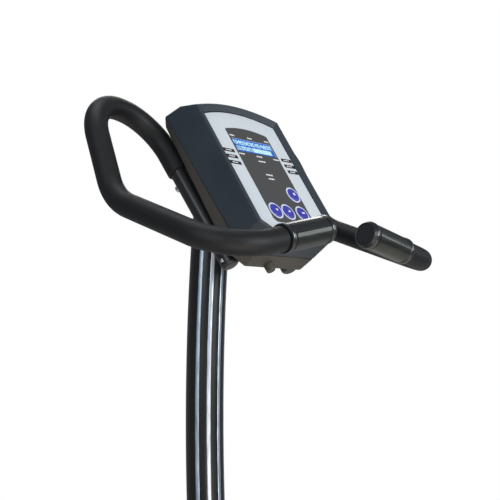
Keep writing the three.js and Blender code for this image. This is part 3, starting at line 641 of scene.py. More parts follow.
class BikeColours(bpy.types.PropertyGroup):
    """Colours of the finishes."""

    casing: colour_setting("Casing", "Front of the console and the shroud", (0.029, 0.038, 0.049))
    casing_dark: colour_setting("Dark Casing", "Back of the console, collars and seat base", (0.058, 0.054, 0.046))
    frame: colour_setting("Frame", "Powder coat of the frame and handlebars", (0.0085, 0.0085, 0.0095))
    mast: colour_setting("Mast", "Gloss coat of the mast", (0.0045, 0.0048, 0.0055))
    foam: colour_setting("Foam", "Handlebar foam", (0.0058, 0.0064, 0.0074))
    grip: colour_setting("Grip", "Smooth black plastic of grips, knobs and pedals", (0.012, 0.013, 0.015))
    # Darker than the plates' own chrome: a painted reflection of a dark room
    pulse: colour_setting("Pulse Plates", "Metal of the pulse plates", (0.046, 0.052, 0.043))
    stripe: colour_setting("Stripes", "Silver stripes of the mast", (0.62, 0.71, 0.82))
    steel: colour_setting("Steel", "Bright steel", (0.60, 0.61, 0.62))
    rubber: colour_setting("Rubber", "Feet, caps, wheels and straps", (0.014, 0.014, 0.014))
    vinyl: colour_setting("Vinyl", "Seat cover", (0.016, 0.016, 0.017))
    overlay: colour_setting("Overlay", "Console's printed overlay", (0.60, 0.64, 0.67))
    lens: colour_setting("Lens", "Dark field round the display", (0.064, 0.062, 0.060))
    ring: colour_setting("Key Rings", "Rings round the keys", (0.62, 0.66, 0.86))
    key: colour_setting("Keys", "Console's keys", (0.045, 0.045, 0.34))
    screen: colour_setting("Screen", "Backlight of the display", (0.005, 0.115, 0.56))
    floor: colour_setting("Floor", "Pale floor", (0.78, 0.74, 0.70))


class BikeSizes(bpy.types.PropertyGroup):
    """Sizes that a user may change."""

    foam_radius: length_setting("Foam Radius", "Outside of the handlebar foam", 0.018)
    bar_radius: length_setting("Bar Radius", "Outside of the bare handlebar tube", 0.01425)
    grip_radius: length_setting("Grip Radius", "Outside of the pulse plates", 0.0207)
    collar_radius: length_setting("Collar Radius", "Outside of the grip's collars", 0.0212)
    mast_radius: length_setting("Mast Radius", "Outside of the mast", 0.0305)
    stripe_width: length_setting("Stripe Width", "Width of one silver stripe", 0.0063)
    key_radius: length_setting("Key Radius", "Outside of one key", 0.0120)
    rim: length_setting("Rim", "Height of the console's rim over its face", 0.0065)


# ---- Stage ----

LENS, SENSOR = 81.39, 36  # millimetres
CAMERA_FROM_DISPLAY = (-1.1260, 1.3798, -0.2929)
HEADING, PITCH = math.radians(-50.57), math.radians(4.17)
FLOOR_RADIUS = 2.6
MAST_MIDDLE = (0.1, 0.0, 0.9)
# Name, place, aim, width, power and colour of each lamp
LAMPS = (("key_light", DISPLAY + (-2.56, -0.16, 0.36), DISPLAY, 0.9, 43, (0.95, 0.98, 1.0)),
         ("grip_light", DISPLAY + (-1.75, -1.87, 0.45), DISPLAY, 0.9, 8, (0.92, 0.97, 1.0)),
         ("side_light", (-0.5, 2.7, 2.0), MAST_MIDDLE, 2.0, 34, (0.86, 0.93, 1.0)),
         ("top_light", (0.5, 0.1, 3.3), MAST_MIDDLE, 1.4, 15, (1.0, 1.0, 1.0)),
         ("low_light", (-0.9, 0.5, 0.25), DISPLAY, 1.2, 12, (1.0, 0.84, 0.74)),
         ("far_light", (2.0, -1.8, 2.2), (0.1, 0.0, 0.8), 1.6, 30, (1.0, 0.97, 0.93)))
ROOM_COLOUR, ROOM_STRENGTH = (0.78, 0.84, 0.92, 1), 0.26


class BikeStage(bpy.types.Operator):
    """Makes the pale floor, the soft studio light and the camera"""

    bl_idname = "bike.stage"
    bl_label = "Stage"

    def placed(self, name, data, spot=(0, 0, 0), way=None):
        """Puts a camera, a lamp or the floor in the scene, looking along a direction."""
        made = bpy.data.objects.new(name, data)
        made.location = spot
        if way is not None:
            made.rotation_euler = Vector(way).to_track_quat("-Z", "Y").to_euler()
        bpy.context.scene.collection.objects.link(made)
        return made

    def execute(self, context):
        scene = context.scene
        scene.view_settings.view_transform = "Standard"
        camera = bpy.data.cameras.new("camera")
        camera.lens, camera.sensor_width = LENS, SENSOR
        camera.clip_start, camera.clip_end = 0.05, 60
        aim = (math.cos(PITCH) * math.cos(HEADING), math.cos(PITCH) * math.sin(HEADING), math.sin(PITCH))
        scene.camera = self.placed("camera", camera, DISPLAY + CAMERA_FROM_DISPLAY, aim)

        mesh = bpy.data.meshes.new("floor")
        rim = at_depth(circle(FLOOR_RADIUS, 96), 0.0)
        mesh.from_pydata(rim, [], [list(range(len(rim)))])
        mesh.materials.append(finish_named("pale_floor"))
        self.placed("floor", mesh)

        for name, spot, aim, width, power, colour in LAMPS:
            light = bpy.data.lights.new(name, "AREA")
            light.size, light.energy, light.color = width, power, colour
            self.placed(name, light, spot, Vector(aim) - Vector(spot)).visible_camera = False

        # The room lights the bike with a cool grey, and shows white behind it
        world = bpy.data.worlds.new("studio")
        scene.world = world
        world.use_nodes = True
        nodes, links = world.node_tree.nodes, world.node_tree.links
        room = nodes["Background"]
        room.inputs["Color"].default_value = ROOM_COLOUR
        room.inputs["Strength"].default_value = ROOM_STRENGTH
        backdrop = nodes.new("ShaderNodeBackground")
        backdrop.inputs["Color"].default_value = (1, 1, 1, 1)
        seen = nodes.new("ShaderNodeLightPath")
        either = nodes.new("ShaderNodeMixShader")
        for k, socket in enumerate((seen.outputs["Is Camera Ray"], room.outputs[0], backdrop.outputs[0])):
            links.new(socket, either.inputs[k])
        links.new(either.outputs[0], nodes["World Output"].inputs["Surface"])
        return {"FINISHED"}


# ---- Console ----
# Its flat outlines are in two coordinates: the rider's right and up the face, both from the display's middle.

CASE_HALF, CASE_CORNER, CASE_ARCH = 0.100, 0.066, 0.016  # half width, top corner's height and rise of the arch
CASE_BOTTOM, CASE_SLOPE_DEPTH, PARTING = -0.178, 0.022, -0.0520
CASE_BACK = -0.0762
FACE_MIDDLE = np.array([0.0, -0.050])
OVERLAY_HALF, OVERLAY_CORNER, OVERLAY_APEX, OVERLAY_BOTTOM = 0.0863, 0.0553, 0.0690, -0.165
WINDOW_GAP = 0.0014  # between the overlay's edge and the casing's
BRACKET_BOTTOM = -0.150
WINDOW_HALF, WINDOW_HIGH = 0.0489, 0.0134  # of the lens's hole over the screen
PAD_COLUMN, PAD_ROWS = 0.0722, (-0.0160, -0.0283, -0.0406)
# Height, columns and dashes of each row of marks on the lens
MARK_ROWS = ((0.0185, (-0.043, 0.0, 0.043), 4), (-0.0190, (-0.043, 0.0, 0.043), 5), (-0.0290, (0.0,), 6),
             (-0.0560, (0.0,), 6), (-0.0640, (0.0,), 5))
CELLS, CELL_PITCH, FIRST_CELL, ROW_HEIGHT = 16, 0.0059, -0.0443, 0.0058
BAR_CELLS = range(7, 15)  # of the second row, which a level bar fills
CELL_DEPTH = -0.00048
DOT_SHARE = 0.62  # of a cell's dots that are lit


def arched(half, corner, apex, bottom, cut, corner_radius, steps=16):
    """A panel outline: a parabola across the top, upright sides and bevelled lower corners."""
    share = np.linspace(1, -1, steps + 1)
    top = corner + (apex - corner) * (1 - share ** 2)
    arch = [(half * s, t, corner_radius if abs(s) == 1 else 0) for s, t in zip(share, top)]
    wide, tall = cut
    soft = tall / 2.4
    foot = [(-half, bottom + tall, soft), (-half + wide, bottom, soft), (half - wide, bottom, soft),
            (half, bottom + tall, soft)]
    return rounded(arch + foot)


def casing_outline(depth, rim, inset=0.0):
    """The console's outline at a depth, drawn in by an inset.

    Its top climbs back from the rim, most at the corners, then runs almost level. Its foot sags in a parabola.
    """
    climb = np.clip((rim - depth) / (rim + CASE_SLOPE_DEPTH), 0, 1)
    level = np.clip((-CASE_SLOPE_DEPTH - depth) / 0.150, 0, 1)
    corner = CASE_CORNER + 0.022 * climb + 0.038 * level
    apex = CASE_CORNER + CASE_ARCH + 0.006 * (climb + level)
    sag = (0.0055 * np.clip((rim - depth) / (rim - PARTING), 0, 1)
           + 0.0045 * np.clip((PARTING - depth) / 0.02, 0, 1))
    outline = arched(CASE_HALF, corner, apex, CASE_BOTTOM, (0.026, 0.020), 0.0025)
    low = outline[:, 1] < -0.12
    outline[:, 1] -= sag * low * (1 - (outline[:, 0] / CASE_HALF) ** 2)
    return shrunk(outline, inset)


def leaning(height):
    """How much deeper than its middle the parting line lies at a height on the face."""
    return 0.0065 * (height + 0.045) / 0.14


class BikeConsole(bpy.types.Operator):
    """Makes the console's casings, overlay, display, keys and bracket"""

    bl_idname = "bike.console"
    bl_label = "Console"

    def front_casing(self, rim):
        """A hollow frame round the overlay: rings climb its outside to the rim and go back down its inside."""
        sine, cosine = quarter(5)
        overlay = arched(OVERLAY_HALF + WINDOW_GAP, OVERLAY_CORNER + WINDOW_GAP, OVERLAY_APEX + WINDOW_GAP,
                         OVERLAY_BOTTOM - WINDOW_GAP, (0.008, 0.008), 0.003)
        depths = (rim, 0, -0.008, -0.015, -0.022, -0.036, PARTING)
        ways = directions(FACE_MIDDLE, overlay, *(casing_outline(depth, rim) for depth in depths))
        window = seen_from(FACE_MIDDLE, overlay, ways)
        within = window * 0.97 + FACE_MIDDLE * 0.03

        def ring(depth, inset, outline_depth=None):
            """One ring of the casing, whose back edge leans away from the face towards the top."""
            outline = casing_outline(depth if outline_depth is None else outline_depth, rim, inset)
            shape = seen_from(FACE_MIDDLE, outline, ways)
            return np.column_stack([shape, depth - leaning(shape[:, 1]) * np.clip(depth / PARTING, 0, 1)])

        fillet, wall = 0.0032, 0.004
        outside = [(PARTING, 0.0012), (PARTING + 0.0004, 0.0004), (PARTING + 0.0012, 0)]
        outside += [(depth, 0) for depth in (-0.045, -0.036, -0.028, -0.0235, -0.022, -0.0205, -0.015, -0.008,
                                             -0.002)]
        outside += [(rim - fillet * (1 - s), fillet * (1 - c)) for s, c in zip(sine, cosine)]
        crest = seen_from(FACE_MIDDLE, casing_outline(rim, rim, 0.0045), ways)
        rings = [*(ring(*spot) for spot in outside), at_depth(crest, rim),
                 at_depth(crest * 0.1 + window * 0.9, 0.0011), at_depth(window, 0.0007),
                 at_depth(window, -0.0026), at_depth(within, -0.0028), at_depth(within, -0.0045),
                 ring(-0.0060, wall, -0.0045), ring(PARTING, wall)]
        piece("console_front_casing", [loft(on_console(np.stack(rings)), closed=False)], "slate_casing",
              ("console_front_shell",), sharp=28)

    def rear_casing(self, rim):
        """A tray whose sides taper and whose top drops towards its rounded back, with a boss under it."""
        sine, cosine = quarter(5)
        edge = 0.004
        depths = np.concatenate([[PARTING - 0.0009, PARTING - 0.0012, PARTING - 0.0022],
                                 np.linspace(PARTING - edge, CASE_BACK + edge, 6),
                                 CASE_BACK + edge * (1 - sine[1:])])
        insets = np.concatenate([[0.0012, 0.0004], np.zeros(7), edge * (1 - cosine[1:])])
        rings = []
        for depth, inset in zip(depths, insets):
            share = np.clip((PARTING - depth) / (PARTING - CASE_BACK), 0, 1)
            outline = casing_outline(depth, rim, inset)
            outline[:, 0] *= 1 - share * (0.07 + 0.07 * np.clip(outline[:, 1] / 0.09, 0, 1))
            rear = depth - leaning(outline[:, 1]) * (1 - share)
            outline[:, 1] -= 0.012 * share * np.clip((outline[:, 1] + 0.08) / 0.17, 0, 1)
            rings.append(np.column_stack([outline, rear]))
        boss = turned([(0, 0), (0.0078, 0), (0.0074, 0.010), (0.0066, 0.0115), (0, 0.0115)],
                      placing(on_console((-0.021, -0.1830, -0.066)), OUT, -Y, -UP))
        piece("console_rear_casing", [loft(on_console(np.stack(rings))), boss], "dark_casing",
              ("console_rear_shell",), sharp=28)

    def print_on_face(self):
        """The lens, label pads and marks are thin layers on the overlay, laid out in rows."""
        lens = arched(0.0520, 0.0311, 0.0380, -0.1516, (0.006, 0.006), 0.003)
        hole = rectangle(WINDOW_HALF, -WINDOW_HIGH, WINDOW_HIGH, 0.0006)
        ways = directions(np.zeros(2), lens, hole)
        lens, hole = seen_from(np.zeros(2), lens, ways), seen_from(np.zeros(2), hole, ways)
        rings = [at_depth(hole, 0), at_depth(lens, 0), at_depth(lens, 0.00018), at_depth(hole, 0.00018)]
        piece("panel_lens", [loft(on_console(np.stack(rings)), closed=False)], "lens_film")

        pads, dashes = [], []
        for column in (-PAD_COLUMN, PAD_COLUMN):
            for row in PAD_ROWS:
                pad = rectangle(0.0135, row - 0.0033, row + 0.0033, 0.0012, 3) + (column, 0)
                pads.append(plate(pad, 0, 0.00022, 0.00008, on_console))
                dashes += [(column + x, row, 0.00030) for x in (-0.0060, -0.0025, 0.0010, 0.0045)]
        piece("panel_pads", pads, "black_print")
        marks = [blocks(dashes, (0.0012, 0.0009, 0.0001), on_console)]
        for height, columns, count in MARK_ROWS:
            spots = [(x + (k - (count - 1) / 2) * 0.0029, height, 0.00026) for x in columns for k in range(count)]
            marks.append(blocks(spots, (0.00105, 0.00125, 0.0001), on_console))
        piece("panel_marks", marks, "white_print")

    def display(self):
        """Two rows of cells on the lit screen: loose dots, and a level bar near the end of the second."""
        random = np.random.default_rng(7)
        dots = []
        for row, height in enumerate((ROW_HEIGHT, -ROW_HEIGHT)):
            for cell in range(CELLS):
                if row == 1 and cell in BAR_CELLS:
                    continue
                # The last cell of the second row is drawn too, and stays dark
                share = DOT_SHARE if row == 0 or cell < BAR_CELLS.start else 0.0
                middle_x = FIRST_CELL + cell * CELL_PITCH
                dots += [(middle_x + (x - 2) * 0.00102, height + (y - 3) * 0.00126, CELL_DEPTH)
                         for y, x in np.argwhere(random.random((7, 5)) < share)]
        bar = [(FIRST_CELL + cell * CELL_PITCH, -ROW_HEIGHT, CELL_DEPTH) for cell in BAR_CELLS]
        piece("screen_cells", [blocks(dots, (0.00045, 0.00056, 0.00006), on_console),
                               blocks(bar, (0.00285, 0.0044, 0.00006), on_console)], "screen_white")
        dress("screen_blue", "screen")
        dress("overlay_film", "label_panel")
        dress("green_board", "circuit_board")

    def keys(self, radius):
        """Each key is a shallow dome in a printed ring, with a plain mark that moves with it."""
        dome = [(0, -0.0078), (radius * 0.96, -0.0078), (radius * 0.99, -0.004), (radius, 0.0002),
                (radius * 0.985, 0.0010), (radius * 0.93, 0.0016), (radius * 0.8, 0.0021), (radius * 0.5, 0.0025),
                (0, 0.0027)]
        band = [(radius + 0.0004, -0.0010), (0.01505, -0.0010), (0.01505, 0.0004), (0.0149, 0.00055),
                (radius + 0.0005, 0.00055), (radius + 0.0004, 0.0004)]
        arrow = np.array([(-1, -0.6), (1, -0.6), (0, 1)]) * 0.0028
        bar = np.array([(-1, -0.35), (1, -0.35), (1, 0.35), (-1, 0.35)]) * 0.0034
        rings = []
        for key, mark in (("down", arrow * (1, -1)), ("up", arrow), ("enter", bar), ("start", bar * (0.6, 1.9))):
            right, up, _ = (middle(f"button_{key}") - DISPLAY) @ np.array([-Y, UP, OUT]).T
            place = placing(on_console((right, up, 0)), -Y, UP, OUT)
            riding = {"body": f"{key}_button", "slot": "button"}
            piece(f"key_{key}", [turned(dome, place)], "key_blue", (f"button_{key}",), **riding)
            raised = plate(rounded([(x, y, 0.0004) for x, y in mark], 3), 0.0022, 0.0029, 0.0001, place)
            piece(f"key_mark_{key}", [raised], "white_print", **riding)
            rings.append(turned(band, place, 64, closed=False))
        piece("key_rings", rings, "ring_print")

    def execute(self, context):
        sizes = context.scene.bike_sizes
        self.front_casing(sizes.rim)
        self.rear_casing(sizes.rim)
        self.print_on_face()
        self.display()
        self.keys(sizes.key_radius)
        eased("mast_bracket", "console_bracket", 0.0012, "powder_coat", "frame", BRACKET_BOTTOM)
        return {"FINISHED"}


# ---- Handlebars ----

class BikeHandlebars(bpy.types.Operator):
    """Makes the bent tubes, their bolts, the foam sleeves and the pulse grips"""

    bl_idname = "bike.handlebars"
    bl_label = "Handlebars"

    def fasteners(self, path, radius):
        """A domed bolt behind the tube and a small screw at its lower end, each turned about its own axis."""
        centre, tangent, _, _ = stations(path, np.array([0.166, 0.014]), OUT)
        dome = [(0, -0.002), (0.0060, -0.002), (0.0062, 0.0012), (0.0058, 0.0030), (0.0044, 0.0046), (0.0022, 0.0054),
                (0, 0.0056)]
        bolt_axes = (tangent[0], np.cross(-OUT, tangent[0]), -OUT)
        screw_axes = (tangent[1], np.cross(Y, tangent[1]), Y)
        bolt = turned(dome, placing(centre[0] - OUT * radius, *bolt_axes), 32)
        screw = turned(np.array(dome) * 0.55, placing(centre[1] + Y * radius, *screw_axes), 28)
        return [bolt, screw]

    def grip_profiles(self, collar, barrel):
        """Profiles of (radius, distance past the grip's start): a barrel between two collars, and the outer cap."""
        end = GRIP_LENGTH
        body = [(0, 0), (collar - 0.001, 0), (collar - 0.0002, 0.0006), (collar, 0.0016), (collar, 0.0082),
                (collar - 0.0003, 0.0090), (barrel, 0.0102), (barrel, 0.0110), (barrel, end - 0.0150),
                (barrel, end - 0.0138), (0, end - 0.0138)]
        cap = [(0, end - 0.0136), (collar - 0.0006, end - 0.0136), (collar, end - 0.0128), (collar, end - 0.0048),
               (collar - 0.0008, end - 0.0036), (0.0184, end - 0.0003), (0.0176, end), (0.0168, end - 0.0003),
               (0.0164, end - 0.0014), (0, end - 0.0014)]
        band = [(collar, 0.0010), (collar + 0.0003, 0.0016), (collar + 0.0003, 0.0070), (collar, 0.0076),
                (collar - 0.001, 0.0076), (collar - 0.001, 0.0010)]
        return body, cap, band

    def pulse_plate(self, path, start, end, radius, facing):
        """A thin shell about the bar, an arc in section, whose outside falls away at its two long edges."""
        half_angle, thickness = math.radians(78), 0.0011
        turn = np.linspace(-half_angle, half_angle, 41)
        ease = 0.0004 * np.exp(-((half_angle - np.abs(turn)) / 0.02))
        around = np.column_stack([np.cos(turn + facing), np.sin(turn + facing)])
        section = np.concatenate([around * (radius - ease)[:, None], around[::-1] * (radius - thickness)])
        return strip(path, OUT, section, start, end, 0.006)

    def execute(self, context):
        sizes = context.scene.bike_sizes
        path = bent_path(BAR_CORNERS, BAR_BENDS) + DISPLAY
        grip_end = length_of(path) + GRIP_PAST_END
        grip_start = grip_end - GRIP_LENGTH

        def on_bar(profile, shift=0.0, closed=True):
            """A grip's profile put along the bar."""
            return along(path, [(grip_start + shift + s, r) for r, s in profile], OUT, 64, closed)

        pair("bar_tube", [along(path, sleeve(0.004, grip_start + 0.02, sizes.bar_radius, 0.0055), OUT)],
             "powder_coat", "handlebar_tube")
        pair("bar_bolts", self.fasteners(path, sizes.bar_radius), "bright_steel")

        foam = sleeve(FOAM_START, grip_start - 0.0022, sizes.foam_radius, 0.0026)
        flare = np.clip((foam[:, 0] - (grip_start - 0.020)) / 0.018, 0, 1) ** 2 * 0.0007
        foam[:, 1] += flare * (foam[:, 1] > sizes.foam_radius / 2)
        for foam_piece in pair("bar_foam", [along(path, foam, OUT, 56)], "closed_cell_foam", "foam_sleeve"):
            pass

        body, cap, band = self.grip_profiles(sizes.collar_radius, sizes.grip_radius - 0.0009)
        pair("grip_body", [on_bar(body)], "black_plastic", "grip")
        pair("grip_cap", [on_bar(cap)], "black_plastic")
        pair("grip_rings", [on_bar(band, shift, False) for shift in (0.0006, GRIP_LENGTH - 0.0128)], "collar_metal")
        # The plates' finish is dark as a painted reflection of a dark room, with painted reflection streaks along the
        # grip
        for face, facing in (("front", 0), ("rear", math.pi)):
            shell = self.pulse_plate(path, grip_start + 0.0112, grip_end - 0.0150, sizes.grip_radius, facing)
            pair(f"pulse_plate_{face}_shell", [shell], "pulse_metal", f"pulse_plate_{face}")
        return {"FINISHED"}


# ---- Mast ----

BRACKET_BACK = -0.1063  # depth behind the console's face
COLLAR_FOOT = 0.6403  # height
STRIPE_STEP = math.radians(36)


def mast_path(low, high, step=0.006):
    """Points on the mast's arc between two heights."""
    height = np.arange(low, high, step)
    x = MAST_UPRIGHT[0] - (MAST_BOW - np.sqrt(MAST_BOW ** 2 - (height - MAST_UPRIGHT[2]) ** 2))
    return np.column_stack([x, np.zeros_like(height), height])


class BikeMast(bpy.types.Operator):
    """Makes the bowed mast, its silver stripes and its collar"""

    bl_idname = "bike.mast"
    bl_label = "Mast"

    def stripes(self, width, radius):
        """Thin strips up the mast, each an arc in section with rounded long edges, at even angles about its back."""
        path = mast_path(corners_of("mast_collar")[1][2] - 0.004, DISPLAY[2] - 0.157)
        half = width / 2 / radius
        turn = np.linspace(-half, half, 9)
        lift = 0.0004 * (1 - (np.abs(turn) / half) ** 8)
        forms = []
        for k in range(-2, 3):
            around = np.column_stack([np.cos(turn + k * STRIPE_STEP), np.sin(turn + k * STRIPE_STEP)])
            section = np.concatenate([around * (radius + lift)[:, None], around[::-1] * (radius - 0.0006)])
            forms.append(strip(path, Y, section, 0, length_of(path), 0.006))
        return forms

    def execute(self, context):
        sizes = context.scene.bike_sizes
        low, high = corners_of("mast")
        path = mast_path(low[2] + 0.004, high[2] + 0.01)
        total = length_of(path)
        profile = [(0, 0), *((s, sizes.mast_radius) for s in evenly(0.0, total, 0.006)), (total, 0)]
        tube = along(path, profile, Y, 72)
        over = np.maximum((tube.points - DISPLAY) @ OUT - BRACKET_BACK, 0)
        tube = tube._replace(points=tube.points - over[:, None] * OUT)  # flat where the bracket closes it
        piece("mast_tube", [tube], "gloss_coat", ("mast",), sharp=40)
        piece("mast_stripes", self.stripes(sizes.stripe_width, sizes.mast_radius), "silver_trim")

        foot = mast_path(COLLAR_FOOT, COLLAR_FOOT + 0.0001, 1)[0]
        lean = math.asin((MAST_UPRIGHT[2] - foot[2]) / MAST_BOW)
        axis = np.array([math.sin(lean), 0, math.cos(lean)])
        profile = rounded_profile([(0, 0.003), (0.047, 0.003), (0.047, 0.008), (0.040, 0.020), (0.0345, 0.030),
                                   (0, 0.030)], 0.002, 4)
        piece("mast_foot_collar", [turned(profile, placing(foot, np.cross(Y, axis), Y, axis), 72)], "dark_casing",
              ("mast_collar",))
        return {"FINISHED"}


# ---- Shroud ----

COVER_FACE = 0.060  # distance of a cover's flat side from the bike's middle


class BikeShroud(bpy.types.Operator):
    """Makes the two halves of the drive cover with their groove, boss and screws"""

    bl_idname = "bike.shroud"
    bl_label = "Shroud"

    def half_cover(self):
        """One hollow half: rings over its bevelled edge, a groove drawn in towards the crank, and the crank's hub."""
        outline = rounded([(-0.350, 0.050, 0.032), (0.330, 0.050, 0.032), (0.326, 0.640, 0.028),
                           (0.212, 0.640, 0.048), (-0.080, 0.468, 0.115), (-0.292, 0.500, 0.024),
                           (-0.388, 0.478, 0.022)], 10)
        axis = CRANK[[0, 2]]
        sine, cosine = quarter(6)
        bevel, wall, face = 0.014, 0.003, COVER_FACE
        edge = [(0.0004, 0.0010), (0.0008, 0.0003), (0.0016, 0)]
        edge += [(face - bevel * (1 - s), bevel * (1 - c)) for s, c in zip(sine, cosine)]
        groove = [(0, 0.885), (0.0005, 0.882), (0.0016, 0.880), (0.0016, 0.866), (0.0005, 0.864), (0, 0.861)]
        well = [(0, 0.052), (-0.0004, 0.0505), (-0.0016, 0.0490), (-0.0016, 0.030), (-0.0010, 0.0250),
                (0.003, 0.0240)]
        shapes = [(y, shrunk(outline, inset)) for y, inset in edge]
        shapes += [(face - drop, axis + (outline - axis) * scale) for drop, scale in groove]
        shapes += [(face - drop, seen_from(axis, circle(radius, 240, axis), outline)) for drop, radius in well]
        shapes += [(face - wall, axis + (outline - axis) * 0.84), (face - bevel, shrunk(outline, wall)),
                   (0.0004, shrunk(outline, wall))]
        return loft(np.stack([sideways(0, 0)(at_depth(shape, y)) for y, shape in shapes]), closed=False)

    def execute(self, context):
        pair("drive_cover", [self.half_cover()], "slate_casing", "shroud", sharp=26)
        screw = rounded_profile([(0, -0.001), (0.0045, -0.001), (0.0045, 0.0008), (0.0030, 0.0016),
                                 (0.0012, 0.0012), (0, 0.0010)], 0.0002, 2)
        spots = ((-0.315, 0.095), (0.285, 0.095), (0.285, 0.590), (-0.325, 0.445), (-0.02, 0.095), (0.150, 0.545))
        pair("cover_screws", [turned(screw, sideways(x, z, COVER_FACE), 24) for x, z in spots], "bright_steel")
        slot = rectangle(0.040, -0.003, 0.003, 0.0028, 4)
        vents = [plate(slot, -0.001, 0.0006, 0.0004, sideways(0.205, 0.200 + 0.018 * k, COVER_FACE - 0.0002))
                 for k in range(9)]
        pair("cover_vents", vents, "dark_casing")
        dress("black_plastic", "power_inlet", "brake_motor", "drive_pulley")
        dress("black_rubber", "drive_belt")
        dress("cast_iron", "flywheel")
        dress("bright_steel", "flywheel_axle", "crank_axle", "crank_bearing_left", "crank_bearing_right",
              "brake_yoke")
        dress("powder_coat", "main_frame")
        return {"FINISHED"}


# ---- Base ----

BEAM_TOP = 0.1138  # height of the beam's skin


class BikeBase(bpy.types.Operator):
    """Makes the stabilisers, end caps, wheels, feet and the beam's skins"""

    bl_idname = "bike.base"
    bl_label = "Base"

    def end_cap(self, end):
        """A block that rounds off at its outer end, with a groove round it. A front one has a stub for its wheel."""
        low, high = corners_of(f"{end}_end_cap_left")
        half, x = (high[0] - low[0]) / 2, middle(f"{end}_stabiliser")[0]
        outline = rounded([(-half, low[2], 0.009), (half, low[2], 0.009), (half, high[2], 0.022),
                           (-half, high[2], 0.022)], 8)
        sine, cosine = quarter(6)
        inner, edge = 0.2153, 0.007
        outer = inner + 0.034
        depths = [*(inner + np.array([0, 0.0008, 0.010, 0.0108, 0.0124, 0.0132])), *(outer - edge * (1 - sine))]
        insets = [0.001, 0, 0, 0.0012, 0.0012, 0, *(edge * (1 - cosine))]
        forms = [loft(np.stack([sideways(x, 0)(at_depth(shrunk(outline, i), d)) for d, i in zip(depths, insets)]))]
        if end == "front":
            wheel = middle("transport_wheel_left")
            stub = [(0, 0), (0.005, 0), (0.005, 0.0215), (0.009, 0.0215), (0.009, 0.0225), (0.0065, 0.0236),
                    (0, 0.0238)]
            forms.append(turned([(r, min(outer - 0.001 + y, high[1])) for r, y in stub],
                                sideways(wheel[0], wheel[2]), 40))
        return forms

    def wheels_and_feet(self):
        """Wheels with a rounded tread and sunk faces, and levelling feet with a stem."""
        low, high = corners_of("transport_wheel_left")
        x, radius = middle("transport_wheel_left")[0], (high[2] - low[2]) / 2
        side = [(0.0057, 0), (0.012, 0), (0.0135, 0.002), (0.019, 0.002), (radius - 0.002, 0), (radius, 0.003)]
        tread = [(r, low[1] + y) for r, y in side] + [(r, high[1] - y) for r, y in side[::-1]]
        wheel = turned(rounded_profile(tread, 0.0008, 3), sideways(x, 0.030), 72, closed=False)
        pair("wheel", [wheel], "black_rubber", "transport_wheel", "wheel")
        foot = rounded_profile([(0, 0), (0.016, 0), (0.018, 0.003), (0.0155, 0.010), (0.004, 0.0100),
                                (0.004, 0.042), (0, 0.042)], 0.0008, 3)
        for side in SIDES:
            x, y, _ = middle(f"levelling_foot_{side}")
            piece(f"screw_foot_{side}", [turned(foot, placing((x, y, 0), X, Y, Z), 56)], "black_rubber",
                  (f"levelling_foot_{side}",), body=f"{side}_foot")

    def execute(self, context):
        bolt = [(0, 0), (0.0075, 0), (0.0078, 0.0015), (0.0064, 0.0045), (0.0035, 0.0062), (0, 0.0066)]
        for end, direction in (("front", 1), ("rear", -1)):
            node = f"{end}_stabiliser"
            low, high = corners_of(node)
            x, _, z = middle(node)
            tube = turned([(0, low[1]), (0.028, low[1]), (0.028, high[1]), (0, high[1])], sideways(x, z), 64)
            clamp = plate(rectangle(0.034, -0.030, 0.030, 0.006), -0.002, 0.003, 0.0012,
                          placing((x, 0, 0.0615), X, Y, Z))
            bolts = [turned(bolt, placing((x + direction * shift, 0, BEAM_TOP - 0.0001), X, Y, Z), 32)
                     for shift in (-0.016, 0.010)]
            piece(f"{end}_cross_tube", [tube, clamp], "powder_coat", (node,))
            piece(f"{end}_beam_bolts", bolts, "bright_steel")
            pair(f"{end}_foot_cap", self.end_cap(end), "black_rubber", f"{end}_end_cap")
        self.wheels_and_feet()

        lengthways = placing((0, 0, 0), Y, Z, X)
        skin = rectangle(0.0204, 0.0630, BEAM_TOP, 0.0016, 4)
        plug = rectangle(0.0185, 0.0650, 0.1118, 0.004, 4)
        piece("beam_skin", [plate(skin, *ends, 0.0005, lengthways) for ends in ((-0.5256, -0.340), (0.322, 0.5256))],
              "powder_coat")
        piece("beam_plugs", [plate(plug, *ends, 0.001, lengthways) for ends in ((-0.5285, -0.524), (0.524, 0.5285))],
              "black_plastic")
        return {"FINISHED"}


# ---- Cranks and pedals ----

